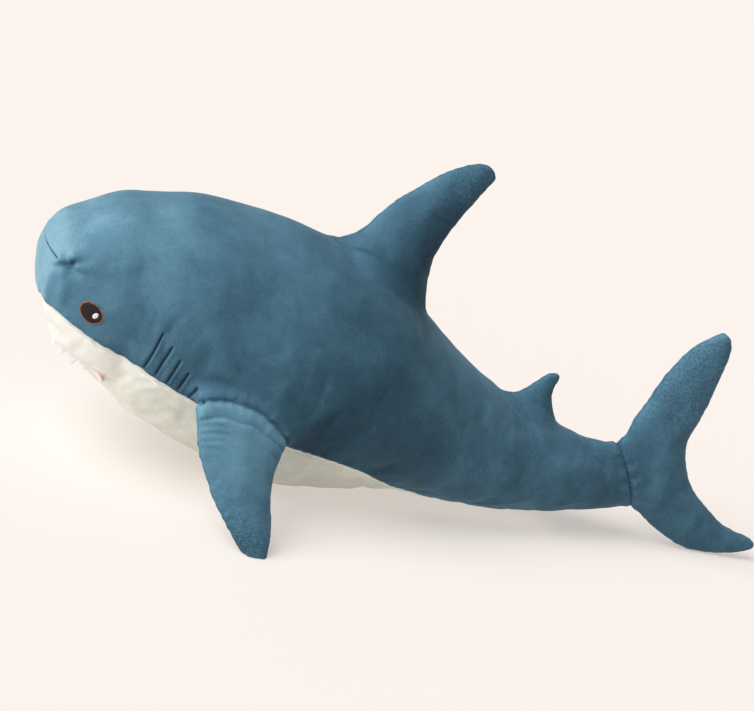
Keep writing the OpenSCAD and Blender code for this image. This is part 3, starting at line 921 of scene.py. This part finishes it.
def upper_teeth(upper):
    """A strip of felt inside the upper lip, cut into teeth."""
    n, m = TEETH * TOOTH_COLUMNS + 1, 2 * len(TOOTH_ROWS)
    line = resampled(upper[7:-7], n)
    inward = unit(MOUTH_CORNER + 20 * LIP_BACK - line)
    line = line + 4 * inward * bell(line[:, 1], 42)[:, None]
    column = np.arange(n)
    phase = column % TOOTH_COLUMNS / TOOTH_COLUMNS
    sway = np.sin(column // TOOTH_COLUMNS * 2.4 + 0.6)
    hang = 0.8 + (TOOTH_LENGTH + 0.7 * sway) * (1 - np.abs(2 * phase - 1)) ** 0.92
    hang *= 0.45 + 0.55 * smooth(column, 0, TOOTH_COLUMNS) * smooth(column[::-1], 0, TOOTH_COLUMNS)
    out = -inward * (0.9 * sway)[:, None]
    sheets = {1: [], -1: []}
    for face, rows in sheets.items():
        for share in TOOTH_ROWS:
            thick = FELT_HALF * math.sqrt(max(0.08, 1 - max(share, 0) ** 6))
            row = line + (FELT_INSET - face * thick) * inward
            if share > 0:
                rows.append(row + out * share ** 2 + (hang * share)[:, None] * TOOTH_WAY)
            else:
                rows.append(row + TOOTH_LENGTH * share * 0.5 * TOOTH_WAY)
    faces = grid_faces(m, n) + [((m - 1) * n + c, (m - 1) * n + c + 1, c + 1, c) for c in range(n - 1)]
    faces += [tuple(r * n for r in range(m)), tuple(r * n + n - 1 for r in range(m - 1, -1, -1))]
    return new_object("upper_teeth_piece", np.concatenate(sheets[1] + sheets[-1][::-1]), faces)


class Surface:
    """The finished skin, to lay pieces on."""

    def __init__(self, mesh):
        self.tree = BVHTree.FromPolygons([tuple(p) for p in coords(mesh)],
            [tuple(f.vertices) for f in mesh.polygons])

    def along(self, start, way):
        """Point and normal where a line meets the skin."""
        place, normal, _, _ = self.tree.ray_cast(Vector(start), Vector(way))
        return np.array(place), np.array(normal) * (-1 if Vector(way).dot(normal) > 0 else 1)

    def beside(self, x, z, side):
        """The same on the shark's side, at a distance behind the snout and a height."""
        return self.along((x, side * 300, z), (0, -side, 0))


EYE_LENGTH, EYE_HEIGHT, EYE_TURN = 23.5, 17.5, math.radians(28)
EYE_RIM = 0.86
EYE_DROP = 1.5                 # below the CAD's eye
GLINT_AT, GLINT_SIZE = (4.2, 0.8), (2.1, 2.9)


class Eye:
    """Places of an embroidered eye's stitches on the skin."""

    def __init__(self, skin, side):
        lo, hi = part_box(SIDES[side] + "_eye_outline")
        middle = millimetres((lo + hi) / 2) - [0, 0, EYE_DROP]
        spots = [skin.beside(middle[0] + dx, middle[2] + dz, side) for dx in (-9, 0, 9) for dz in (-7, 0, 7)]
        self.normal = unit(np.mean([n for _, n in spots], axis=0))
        self.middle, self.skin = skin.beside(middle[0], middle[2], side)[0], skin
        back = unit(np.array([1.0, 0, 0]) - self.normal[0] * self.normal)
        up = np.cross(self.normal, back)
        up *= np.sign(up[2])
        c, s = math.cos(EYE_TURN), math.sin(EYE_TURN)
        self.long, self.short = c * back - s * up, s * back + c * up

    def at(self, u, v, lift):
        p = self.middle + u * self.long + v * self.short
        place, _ = self.skin.along(p + 12 * self.normal, -self.normal)
        return place + lift * self.normal


def disc(name, eye, radii, turns, centre, size, height):
    """A domed disc or ring of stitches; height gives the lift at a share of the radius and an angle."""
    angles = [2 * math.pi * k / turns for k in range(turns)]
    points = [eye.at(centre[0] + size[0] * r * math.cos(a), centre[1] + size[1] * r * math.sin(a),
        height(r, a)) for r in radii for a in angles]
    faces = ring_faces(len(radii), turns)
    if radii[0] < 0.05:
        faces.append(tuple(range(turns - 1, -1, -1)))
    obj = new_object(name, np.array(points), faces)
    with editing(obj.data) as bm:
        bmesh.ops.recalc_face_normals(bm, faces=bm.faces)
        if sum(f.normal.dot(Vector(eye.normal)) for f in bm.faces) < 0:
            bmesh.ops.reverse_faces(bm, faces=bm.faces)
    return obj


def embroidered_eye(skin, side):
    """The rim in satin stitch, the dark pupil and the light glint."""
    eye = Eye(skin, side)
    name = SIDES[side] + "_eye"
    half = (EYE_LENGTH / 2, EYE_HEIGHT / 2)
    dark = tuple(h * EYE_RIM + 0.3 for h in half)

    def rim(r, a):
        across = (r - 0.93) / 0.075
        return 1.0 * math.sqrt(max(0.0, 1 - across ** 2)) - 0.35 + 0.16 * math.cos(88 * a)

    def pupil(r, a):
        row = r * half[1] * math.sin(a)
        return 0.75 * (1 - 0.35 * r ** 4) + 0.07 * math.cos(2 * math.pi * row / 0.8) \
            - 1.4 * smooth(r, 0.97, 1.0)

    def glint(r, a):
        stitches = 0.05 * math.cos(2 * math.pi * r * math.cos(a) / 0.3)
        return 0.85 + 0.45 * math.sqrt(max(0.0, 1 - r ** 2)) + stitches

    return (disc(name + "_outline_piece", eye, np.linspace(0.855, 1.005, 8), 352, (0, 0), half, rim),
        disc(name + "_pupil_piece", eye, np.linspace(0.02, 1.0, 26), 120, (0, 0), dark, pupil),
        disc(name + "_glint_piece", eye, np.linspace(0.02, 1.0, 8), 48, GLINT_AT, GLINT_SIZE, glint))


THREAD, THREAD_SIDES, THREAD_END = 0.5, 6, 0.55        # radius, corners, and share of the radius at an end
SINK = 0.5                     # how far a stitch dips into the fabric
ASKEW = np.array([0.31, 0.52, 0.8])    # a direction that no thread runs along


def thread(name, lines):
    """Tubes along lines of points, with closed ends."""
    points, faces, sides = [], [], THREAD_SIDES
    for line in lines:
        way = unit(np.gradient(line, axis=0))
        u = unit(np.cross(way, ASKEW))
        v = np.cross(way, u)
        first = len(points)
        for k, p in enumerate(line):
            r = THREAD * (THREAD_END if k in (0, len(line) - 1) else 1)
            for j in range(sides):
                a = 2 * math.pi * j / sides
                points.append(p + r * (math.cos(a) * u[k] + math.sin(a) * v[k]))
        last = first + (len(line) - 1) * sides
        faces += ring_faces(len(line), sides, first)
        faces += [tuple(range(first + sides - 1, first - 1, -1)), tuple(range(last, last + sides))]
    return new_object(name, np.array(points), faces)


def dashes(line, lift, length, gap):
    """Running stitches along a line of (point, normal): each dips into the fabric at its ends."""
    p, n = np.array([a for a, _ in line]), np.array([b for _, b in line])
    run = run_along(p)
    share = np.linspace(0, 1, 7)
    rise = np.sin(math.pi * share) ** 0.5
    stitches = [start + share * length for start in np.arange(gap / 2, run[-1] - length, length + gap)]
    return [at_run(p, run, at) + at_run(n, run, at) * (lift * rise - SINK * (1 - rise))[:, None]
        for at in stitches]


def gill_stitches(skin, side):
    lines = []
    for i in range(GILLS):
        foot, reach = gill_line(i)
        spots = [skin.beside(foot[0] + f * reach * math.sin(GILL_LEAN) - 0.2,
            foot[1] + f * reach * math.cos(GILL_LEAN), side) for f in np.linspace(0.04 + 0.05 * i, 0.97, 22)]
        lines.append(np.array([p + 0.25 * n for p, n in spots]))
    return thread(SIDES[side] + "_gill_stitches_piece", lines)


def snout_seam_stitches(skin):
    spots = [skin.along((-60, y, DART_Z), (1, 0, 0)) for y in np.linspace(-DART_HALF, DART_HALF, 90)]
    return thread("snout_seam_stitches_piece", dashes(spots, 0.5, 4.2, 1.6))


def closing_stitches(skin):
    spots = [skin.beside(x, float(seam_height(x)), 1) for x in np.linspace(300, 360, 60)]
    return thread("closing_stitches_piece", dashes(spots, 0.7, 3.6, 1.8))


def tail_seam_stitches(skin):
    """Running stitches in the groove round the tail's root."""
    centre = TAIL_AT.root + TAIL_SEAM_AT * TAIL_AT.chord
    ways = [math.cos(a) * TAIL_AT.across + math.sin(a) * TAIL_AT.up for a in np.radians(np.arange(0, 361, 4))]
    spots = [skin.along(centre + 90 * way, -way) for way in ways]
    return thread("tail_seam_stitches_piece", dashes(spots, 0.4, 4.0, 1.6))


# ---- materials ----

def srgb(r, g, b):
    shares = (c / 255 for c in (r, g, b))
    return tuple(c / 12.92 if c <= 0.04 else ((c + 0.055) / 1.055) ** 2.4 for c in shares) + (1,)


class Nodes:
    """A material's node tree, with short calls to add and join nodes."""

    def __init__(self, name):
        self.material = bpy.data.materials.new(name)
        self.material.use_nodes = True
        self.tree = self.material.node_tree
        self.shader = self.tree.nodes["Principled BSDF"]
        self.place = self.add("ShaderNodeAttribute", attribute_name="rest").outputs["Vector"]

    def put(self, socket, value):
        if isinstance(value, bpy.types.NodeSocket):
            self.tree.links.new(value, socket)
        else:
            socket.default_value = value

    def add(self, kind, inputs=None, **values):
        node = self.tree.nodes.new(kind)
        for key, value in values.items():
            setattr(node, key, value)
        for key, value in (inputs or {}).items():
            self.put(node.inputs[key], value)
        return node

    def set(self, **values):
        for key, value in values.items():
            self.put(self.shader.inputs[key.replace("_", " ")], value)

    def painted(self, name):
        """A value that is stored at the mesh's points."""
        return self.add("ShaderNodeAttribute", attribute_name=name).outputs["Fac"]

    def math(self, operation, *values):
        return self.add("ShaderNodeMath", dict(enumerate(values)), operation=operation).outputs[0]

    def noise(self, scale, detail=2.0, roughness=0.5, stretch=None, distortion=0.0):
        place = self.place
        if stretch is not None:
            place = self.add("ShaderNodeVectorMath", {0: place, 1: stretch}, operation="MULTIPLY").outputs[0]
        return self.add("ShaderNodeTexNoise", {"Vector": place, "Scale": scale, "Detail": detail,
            "Roughness": roughness, "Distortion": distortion}).outputs["Fac"]

    def ramp(self, value, stops):
        ramp = self.add("ShaderNodeValToRGB", {"Fac": value})
        while len(ramp.color_ramp.elements) < len(stops):
            ramp.color_ramp.elements.new(0.5)
        for element, (at, colour) in zip(ramp.color_ramp.elements, stops):
            element.position, element.color = at, colour
        return ramp.outputs["Color"]

    def bump(self, height, strength, distance, normal=None):
        inputs = {"Height": height, "Strength": strength, "Distance": distance}
        if normal is not None:
            inputs["Normal"] = normal
        return self.add("ShaderNodeBump", inputs).outputs["Normal"]


def velour(name, stops, sheen, sheen_tint, pile):
    """Short brushed pile: cloudy patches, faint upright strokes and fine grain over the painted light and
    shade that is stored at the points.
    """
    m = Nodes(name)
    painted_light_and_tone = m.painted("painted_light_and_tone")
    clouds = m.noise(14, 3, 0.55, distortion=0.6)
    strokes = m.noise(24, 2, 0.5, stretch=(1.0, 0.6, 0.22))
    patches = m.noise(55, 3, 0.6, distortion=0.4)
    tufts = m.noise(560, 2, 0.8)
    grain = m.noise(700, 2, 0.7)
    spread = m.math("MULTIPLY_ADD", m.painted("ruffled"), 0.9, 0.2)
    for noise, share in ((clouds, 0.46), (strokes, 0.28), (patches, 0.28), (tufts, spread)):
        painted_light_and_tone = m.math("MULTIPLY_ADD", m.math("SUBTRACT", noise, 0.5), share, painted_light_and_tone)
    speck = m.ramp(grain, [(0.3, (1 - pile,) * 3 + (1,)), (0.7, (1,) * 4)])
    colour = m.add("ShaderNodeMix", {0: 1.0, 6: m.ramp(painted_light_and_tone, stops), 7: speck}, data_type="RGBA",
        blend_type="MULTIPLY").outputs[2]
    brushed = m.noise(150, 3, 0.6, stretch=(1.0, 1.0, 0.4))
    m.set(Base_Color=colour, Roughness=m.ramp(patches, [(0.3, (0.84,) * 4), (0.7, (0.98,) * 4)]),
        Normal=m.bump(grain, 0.6, 0.0006, m.bump(brushed, 0.3, 0.0012)), Sheen_Weight=sheen,
        Sheen_Roughness=0.45, Sheen_Tint=sheen_tint, Specular_IOR_Level=0.2)
    return m.material


# Colours of the pile by the stored value, from painted shade at the low end to painted light at the high end;
# the pile's patches move along it too.
BLUE_STOPS = [(0.0, srgb(28, 54, 70)), (0.3, srgb(51, 87, 107)), (0.55, srgb(76, 118, 142)),
    (0.8, srgb(100, 147, 171)), (1.0, srgb(134, 178, 200))]
WHITE_STOPS = [(0.0, srgb(198, 200, 190)), (0.25, srgb(224, 227, 217)), (0.45, srgb(243, 245, 237)),
    (1.0, srgb(246, 247, 241))]
BLUE_VELOUR = velour("blue_velour", BLUE_STOPS, 0.45, srgb(150, 190, 212), 0.2)
WHITE_VELOUR = velour("white_velour", WHITE_STOPS, 0.2, srgb(255, 252, 244), 0.06)


def brushed_lining():
    m = Nodes("mouth_lining")
    fuzz = m.noise(700, 2, 0.6)
    m.set(Base_Color=m.ramp(m.noise(60, 2), [(0.3, srgb(255, 224, 204)), (0.7, srgb(255, 238, 224))]),
        Roughness=0.95, Normal=m.bump(fuzz, 0.5, 0.0005), Sheen_Weight=0.2, Sheen_Roughness=0.5,
        Specular_IOR_Level=0.2)
    return m.material


def felt():
    """Pressed fibres that lie every way."""
    m = Nodes("white_felt")
    fibres = m.noise(520, 4, 0.75, stretch=(1.0, 1.6, 0.7), distortion=1.5)
    m.set(Base_Color=m.ramp(fibres, [(0.3, srgb(222, 224, 226)), (0.65, srgb(246, 246, 246))]),
        Roughness=0.95, Normal=m.bump(fibres, 0.6, 0.0005), Sheen_Weight=0.15, Sheen_Roughness=0.6,
        Specular_IOR_Level=0.2)
    return m.material


def satin_thread(name, dark, light, roughness=0.55):
    """Twisted thread: fine streaks and a soft gloss."""
    m = Nodes(name)
    strands = m.noise(320, 3, 0.6, stretch=(1.0, 1.0, 3.0))
    m.set(Base_Color=m.ramp(strands, [(0.35, dark), (0.65, light)]), Roughness=roughness,
        Normal=m.bump(m.noise(1500, 2), 0.4, 0.0003), Specular_IOR_Level=0.35)
    return m.material


LINING = brushed_lining()
FELT = felt()
SEAM_THREAD = satin_thread("seam_thread", srgb(14, 24, 32), srgb(30, 48, 60), 0.7)
BLUE_THREAD = satin_thread("blue_thread", srgb(30, 52, 66), srgb(52, 84, 102), 0.7)
RIM_THREAD = satin_thread("eye_rim_thread", srgb(112, 66, 46), srgb(172, 118, 90))
PUPIL_THREAD = satin_thread("eye_dark_thread", srgb(10, 7, 6), srgb(30, 17, 11), 0.5)
GLINT_THREAD = satin_thread("eye_light_thread", srgb(226, 228, 228), srgb(250, 250, 250), 0.4)


# ---- studio ----

CAMERA_TURN, CAMERA_RISE, CAMERA_ROLL = -20, 18, 18
CAMERA_TARGET, CAMERA_DISTANCE = Vector((-0.070, 0, 0.140)), 1.690
FLOOR_HALF, FLOOR_DROP = 6e4, 0.5
PALE_SKY = (("From Min", 0.03), ("From Max", 0.25), ("To Min", 0.93), ("To Max", 0.28))


def toward(azimuth, elevation):
    """Direction of an azimuth and an elevation in degrees; azimuth 0 is the shark's left side."""
    a, e = math.radians(azimuth), math.radians(elevation)
    return Vector((math.sin(a) * math.cos(e), -math.cos(a) * math.cos(e), math.sin(e)))


def camera():
    back = toward(CAMERA_TURN, CAMERA_RISE)
    data = bpy.data.cameras.new("camera")
    data.lens, data.sensor_width = 85, 36
    data.clip_start, data.clip_end = 0.05, 200
    obj = linked("camera", data)
    obj.rotation_mode = "QUATERNION"
    obj.location = CAMERA_TARGET + back * CAMERA_DISTANCE
    roll = Quaternion(back, math.radians(CAMERA_ROLL))
    obj.rotation_quaternion = roll @ (-back).to_track_quat("-Z", "Y")
    bpy.context.scene.camera = obj


def sun(name, strength, size, azimuth, elevation, colour=(1, 1, 1)):
    data = bpy.data.lights.new(name, "SUN")
    data.energy, data.angle, data.color = strength, math.radians(size), colour
    obj = linked(name, data)
    obj.rotation_mode = "QUATERNION"
    obj.rotation_quaternion = toward(azimuth, elevation).to_track_quat("Z", "Y")


def studio():
    """A pale floor and a sky that is pale at the horizon and dim above, with two soft suns."""
    scene = bpy.context.scene
    scene.view_settings.view_transform = "Standard"
    scene.world = bpy.data.worlds.new("studio")
    scene.world.use_nodes = True
    nodes, links = scene.world.node_tree.nodes, scene.world.node_tree.links
    place = nodes.new("ShaderNodeTexCoord")
    height = nodes.new("ShaderNodeSeparateXYZ")
    glow = nodes.new("ShaderNodeMapRange")
    links.new(place.outputs["Generated"], height.inputs[0])
    links.new(height.outputs["Z"], glow.inputs["Value"])
    for socket, value in PALE_SKY:
        glow.inputs[socket].default_value = value
    links.new(glow.outputs["Result"], nodes["Background"].inputs["Strength"])
    nodes["Background"].inputs["Color"].default_value = srgb(253, 247, 242)
    sun("key", 2.7, 45, -75, 48, (1, 0.985, 0.96))
    sun("fill", 0.5, 80, -55, 6)
    m = Nodes("studio_floor")
    m.set(Base_Color=srgb(198, 192, 189), Roughness=1.0, Emission_Color=srgb(253, 246, 240),
        Emission_Strength=0.44, Specular_IOR_Level=0.0)
    corners = [(-1, -1), (1, -1), (1, 1), (-1, 1)]
    floor = new_object("floor", np.array([[FLOOR_HALF * x, FLOOR_HALF * y, -FLOOR_DROP] for x, y in corners]),
        [(0, 1, 2, 3)])
    floor.data.materials.append(m.material)


# Bands of painted light and shade along the body: [change, where it starts, where it is full]
PAINTED_LIGHT_BANDS = [(-0.05, 110, 170), (-0.19, 180, 300), (0.12, 330, 430), (0.06, 60, 0), (0.04, 560, 640)]


def body_painted_light(p, n):
    """Painted light and shade: lighter where the skin faces the key sun, on top and at the snout, and darker
    underneath and toward the tail.
    """
    x, z = p[:, 0], p[:, 2]
    # Painted light where the skin faces the key sun, the same on both sides.
    mirrored = np.stack([n[:, 0], -np.abs(n[:, 1]), n[:, 2]], 1)
    painted_light_and_tone = 0.48 + 0.28 * (mirrored @ unit([-0.62, -0.05, 0.78]))
    for change, start, full in PAINTED_LIGHT_BANDS:
        painted_light_and_tone += change * smooth(x, start, full)
    # Painted light on the snout's front, which faces the key sun, and on the top of the head.
    painted_light_and_tone += 0.12 * smooth(-n[:, 0], 0.4, 0.8) * smooth(x, 60, 25)
    painted_light_and_tone += 0.08 * smooth(x, 75, 25) * smooth(z, 192, 214)
    # Painted shade in a band round the body behind the head, and low on the flank further back.
    return painted_light_and_tone - 0.08 * bell(x - 140, 45) - 0.06 * bell(x - 320, 60) * smooth(z, 60, 120)


def dorsal_painted_light(p):
    # Painted light on the dorsal fin's front half, and painted shade at the rear of its root.
    s, _, h = DORSAL_AT.into(p)
    return 0.15 * smooth(s, 8, -40) * smooth(h, -5, 20) * smooth(h, 130, 90) \
        - 0.42 * bell(s - 26, 24) * bell(h - 8, 30)


def pectoral_painted_light(mesh, p, side, lines):
    """Lighter toward the fin's root, with painted shade in its folds and a painted shadow of the fin on the
    flank behind it.
    """
    on = on_panels(mesh, *PECTORAL_PANELS[side])
    s, _, h = PECTORAL_AT[side].into(p)
    painted_light_and_tone = on * (0.38 * smooth(h, 112, 50) - 0.12)
    for face in (-1, 1):
        _, rolls, strength = root_folds(p, side, pectoral_ring(lines, side), face)
        # Painted shade in the folds round the fin's root.
        painted_light_and_tone -= on * 0.16 * strength * (bell(np.sin(math.pi * rolls), 0.3) - 0.15)
    # Painted shadow that the fin casts on the flank behind it.
    return painted_light_and_tone - 0.16 * bell(s - 62, 34) * bell(h + 4, 40) * (~on) * (p[:, 1] * side > 0)


def seam_painted_shade(p, lines, white):
    """Painted shade in the seams, the gill tucks and the dart, a painted highlight at the white edge of the
    colour seam, and painted light on the snout's flat front.
    """
    painted_light_and_tone = np.zeros(len(p))
    for pair, line in lines.items():
        _, far = nearest(p, line, 6)
        # Painted shade along each seam's groove, and a painted highlight on the white edge of the colour
        # seam.
        depth = np.where(white & (pair == (0, 1)), -0.3, 0.08 if pair[0] > UNDERSIDE else 0.16)
        painted_light_and_tone -= depth * bell(far, 1.8) * seam_strength(pair, p)
    for i in range(GILLS):
        behind, up = gill_axes(p, i)
        along = near_gills(p) * smooth(up, -0.1, 0.1) * smooth(up, 1.05, 0.92)
        # Painted shade in each gill tuck, and painted light on the fold behind it.
        painted_light_and_tone += along * (-0.22 * bell(behind + 0.5, 1.6) + 0.08 * bell(behind - 2.6, 1.5))
    above, beyond = dart_axes(p)
    # Painted light on the snout's flat front, and painted shade in the dart and in its dimple.
    flat = 0.13 * smooth(np.abs(p[:, 1]), 57, 51) * smooth(p[:, 2], 212, 190)
    dart = 0.5 * bell(np.hypot(beyond - DIMPLE, above), 4) + 0.10 * bell(above, 1.4) * (beyond < 0)
    return painted_light_and_tone + (flat - dart) * smooth(p[:, 0], 45, 30)


def ruffled_pile(mesh, p):
    """How ruffled the pile is: toward the tips of the fins, and a little at the rear."""
    s, _, h = DORSAL_AT.into(p)
    ruffled = np.maximum(0.2 * smooth(p[:, 0], 250, 420), smooth(h, 20, 105) * smooth(s, -60, 10))
    for side, ends in PECTORAL_PANELS.items():
        tip = smooth(PECTORAL_AT[side].into(p)[2], 55, 100)
        ruffled = np.maximum(ruffled, on_panels(mesh, *ends) * tip)
    return np.maximum(ruffled, 0.35 * (tail_field(p) < 0) * smooth(np.abs(p[:, 2] - 110), 20, 120))


def paint_light_and_ruffles(mesh, lines):
    """Stores the painted light and shade of the pile at each point, and how ruffled the pile is."""
    p, n = coords(mesh), normals(mesh)
    white = on_panels(mesh, UNDERSIDE, UNDERSIDE)
    painted_light_and_tone = body_painted_light(p, n) + dorsal_painted_light(p) + seam_painted_shade(p, lines, white)
    # Painted shade on the white underside below the pectoral fins and behind them.
    painted_light_and_tone -= white * (0.06 * smooth(p[:, 0], 120, 220) + 0.14 * bell(p[:, 0] - 165, 36))
    for side in SIDES:
        painted_light_and_tone += pectoral_painted_light(mesh, p, side, lines)
    store(mesh, "painted_light_and_tone", np.clip(painted_light_and_tone, 0, 1))
    store(mesh, "ruffled", np.clip(ruffled_pile(mesh, p), 0, 1))


def small_pieces(mesh):
    """The teeth, the lining, the eyes and the threads, each with its materials and body; the CAD node that
    each stands for is hidden.
    """
    skin = Surface(mesh)
    upper, lower = boundary_lips(mesh)
    lining = mouth_lining(upper, lower)
    store(lining.data, "painted_light_and_tone", np.full(len(lining.data.vertices), 0.5))
    store(lining.data, "ruffled", np.zeros(len(lining.data.vertices)))
    made = [(lining, (LINING, WHITE_VELOUR), "mouth_fabric", "torso"),
        (upper_teeth(upper), (FELT,), "felt", "torso"),
        (snout_seam_stitches(skin), (SEAM_THREAD,), "seam_thread", "torso"),
        (closing_stitches(skin), (BLUE_THREAD,), "seam_thread", "torso"),
        (tail_seam_stitches(skin), (BLUE_THREAD,), "seam_thread", "tail_stock")]
    for side in SIDES:
        made.append((gill_stitches(skin, side), (SEAM_THREAD,), "seam_thread", "torso"))
        outline, pupil, glint = embroidered_eye(skin, side)
        made += [(outline, (RIM_THREAD,), "eye_rim_thread", "torso"),
            (pupil, (PUPIL_THREAD,), "eye_dark_thread", "torso"),
            (glint, (GLINT_THREAD,), "eye_light_thread", "torso")]
    for obj, materials, slot, body in made:
        for material in materials:
            obj.data.materials.append(material)
        finish_mesh(obj.data)
        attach(obj, body)
        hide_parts(obj.name.removesuffix("_piece"))


# [name, its two panels, its frame, the body before it, its body, start and end of the blend]
FINS = [("dorsal_fin", ("left", "right"), DORSAL_AT, "torso", "dorsal_fin", (0, 0, 4), (0, 0, 58)),
    ("rear_dorsal", ("left", "right"), REAR_AT, "tail_stock", "rear_dorsal_fin", (0, 0, 1), (0, 0, 12)),
    ("tail_fin", ("left", "right"), TAIL_AT, "tail_stock", "tail_fin", (2, 0, 0), (30, 0, 0))]
FINS += [(f"{name}_pectoral", ("upper", "lower"), PECTORAL_AT[side], "torso", f"{name}_pectoral_fin",
    (0, 0, 13), (0, 0, 48)) for side, name in SIDES.items()]


def fasten(panels):
    """Bakes the panels' places into their meshes, and hides the CAD nodes that they stand for."""
    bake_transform(panels["back_cover"])
    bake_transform(panels["underside_cover"])
    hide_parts("back_panel", "tail_back_panel", "torso_filling",
        "tail_stock_filling")
    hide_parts("belly_panel", "tail_belly_panel", "upper_jaw_panel")
    for fin, halves, at, low, high, start, end in FINS:
        for half in halves:
            obj = panels[f"{fin}_{half}_cover"]
            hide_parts(f"{fin}_{half}_panel", *([fin + "_filling"] if half == halves[0] else []))
            metres(at.out(*start))
            metres(at.out(*end))
            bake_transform(obj)


def build():
    camera()
    studio()
    skin = whole_skin()
    sewn(skin.data)
    label_faces(skin.data)
    puffed(skin)
    lines = detailed(skin)
    lower_jaw(skin.data)
    paint_light_and_ruffles(skin.data, lines)
    small_pieces(skin.data)
    panels = split_panels(skin.data)
    bpy.data.objects.remove(skin)
    fasten(panels)
    for name, obj in panels.items():
        finish_mesh(obj.data)
        obj.data.materials.append(WHITE_VELOUR if name == "underside_cover" else BLUE_VELOUR)


build()
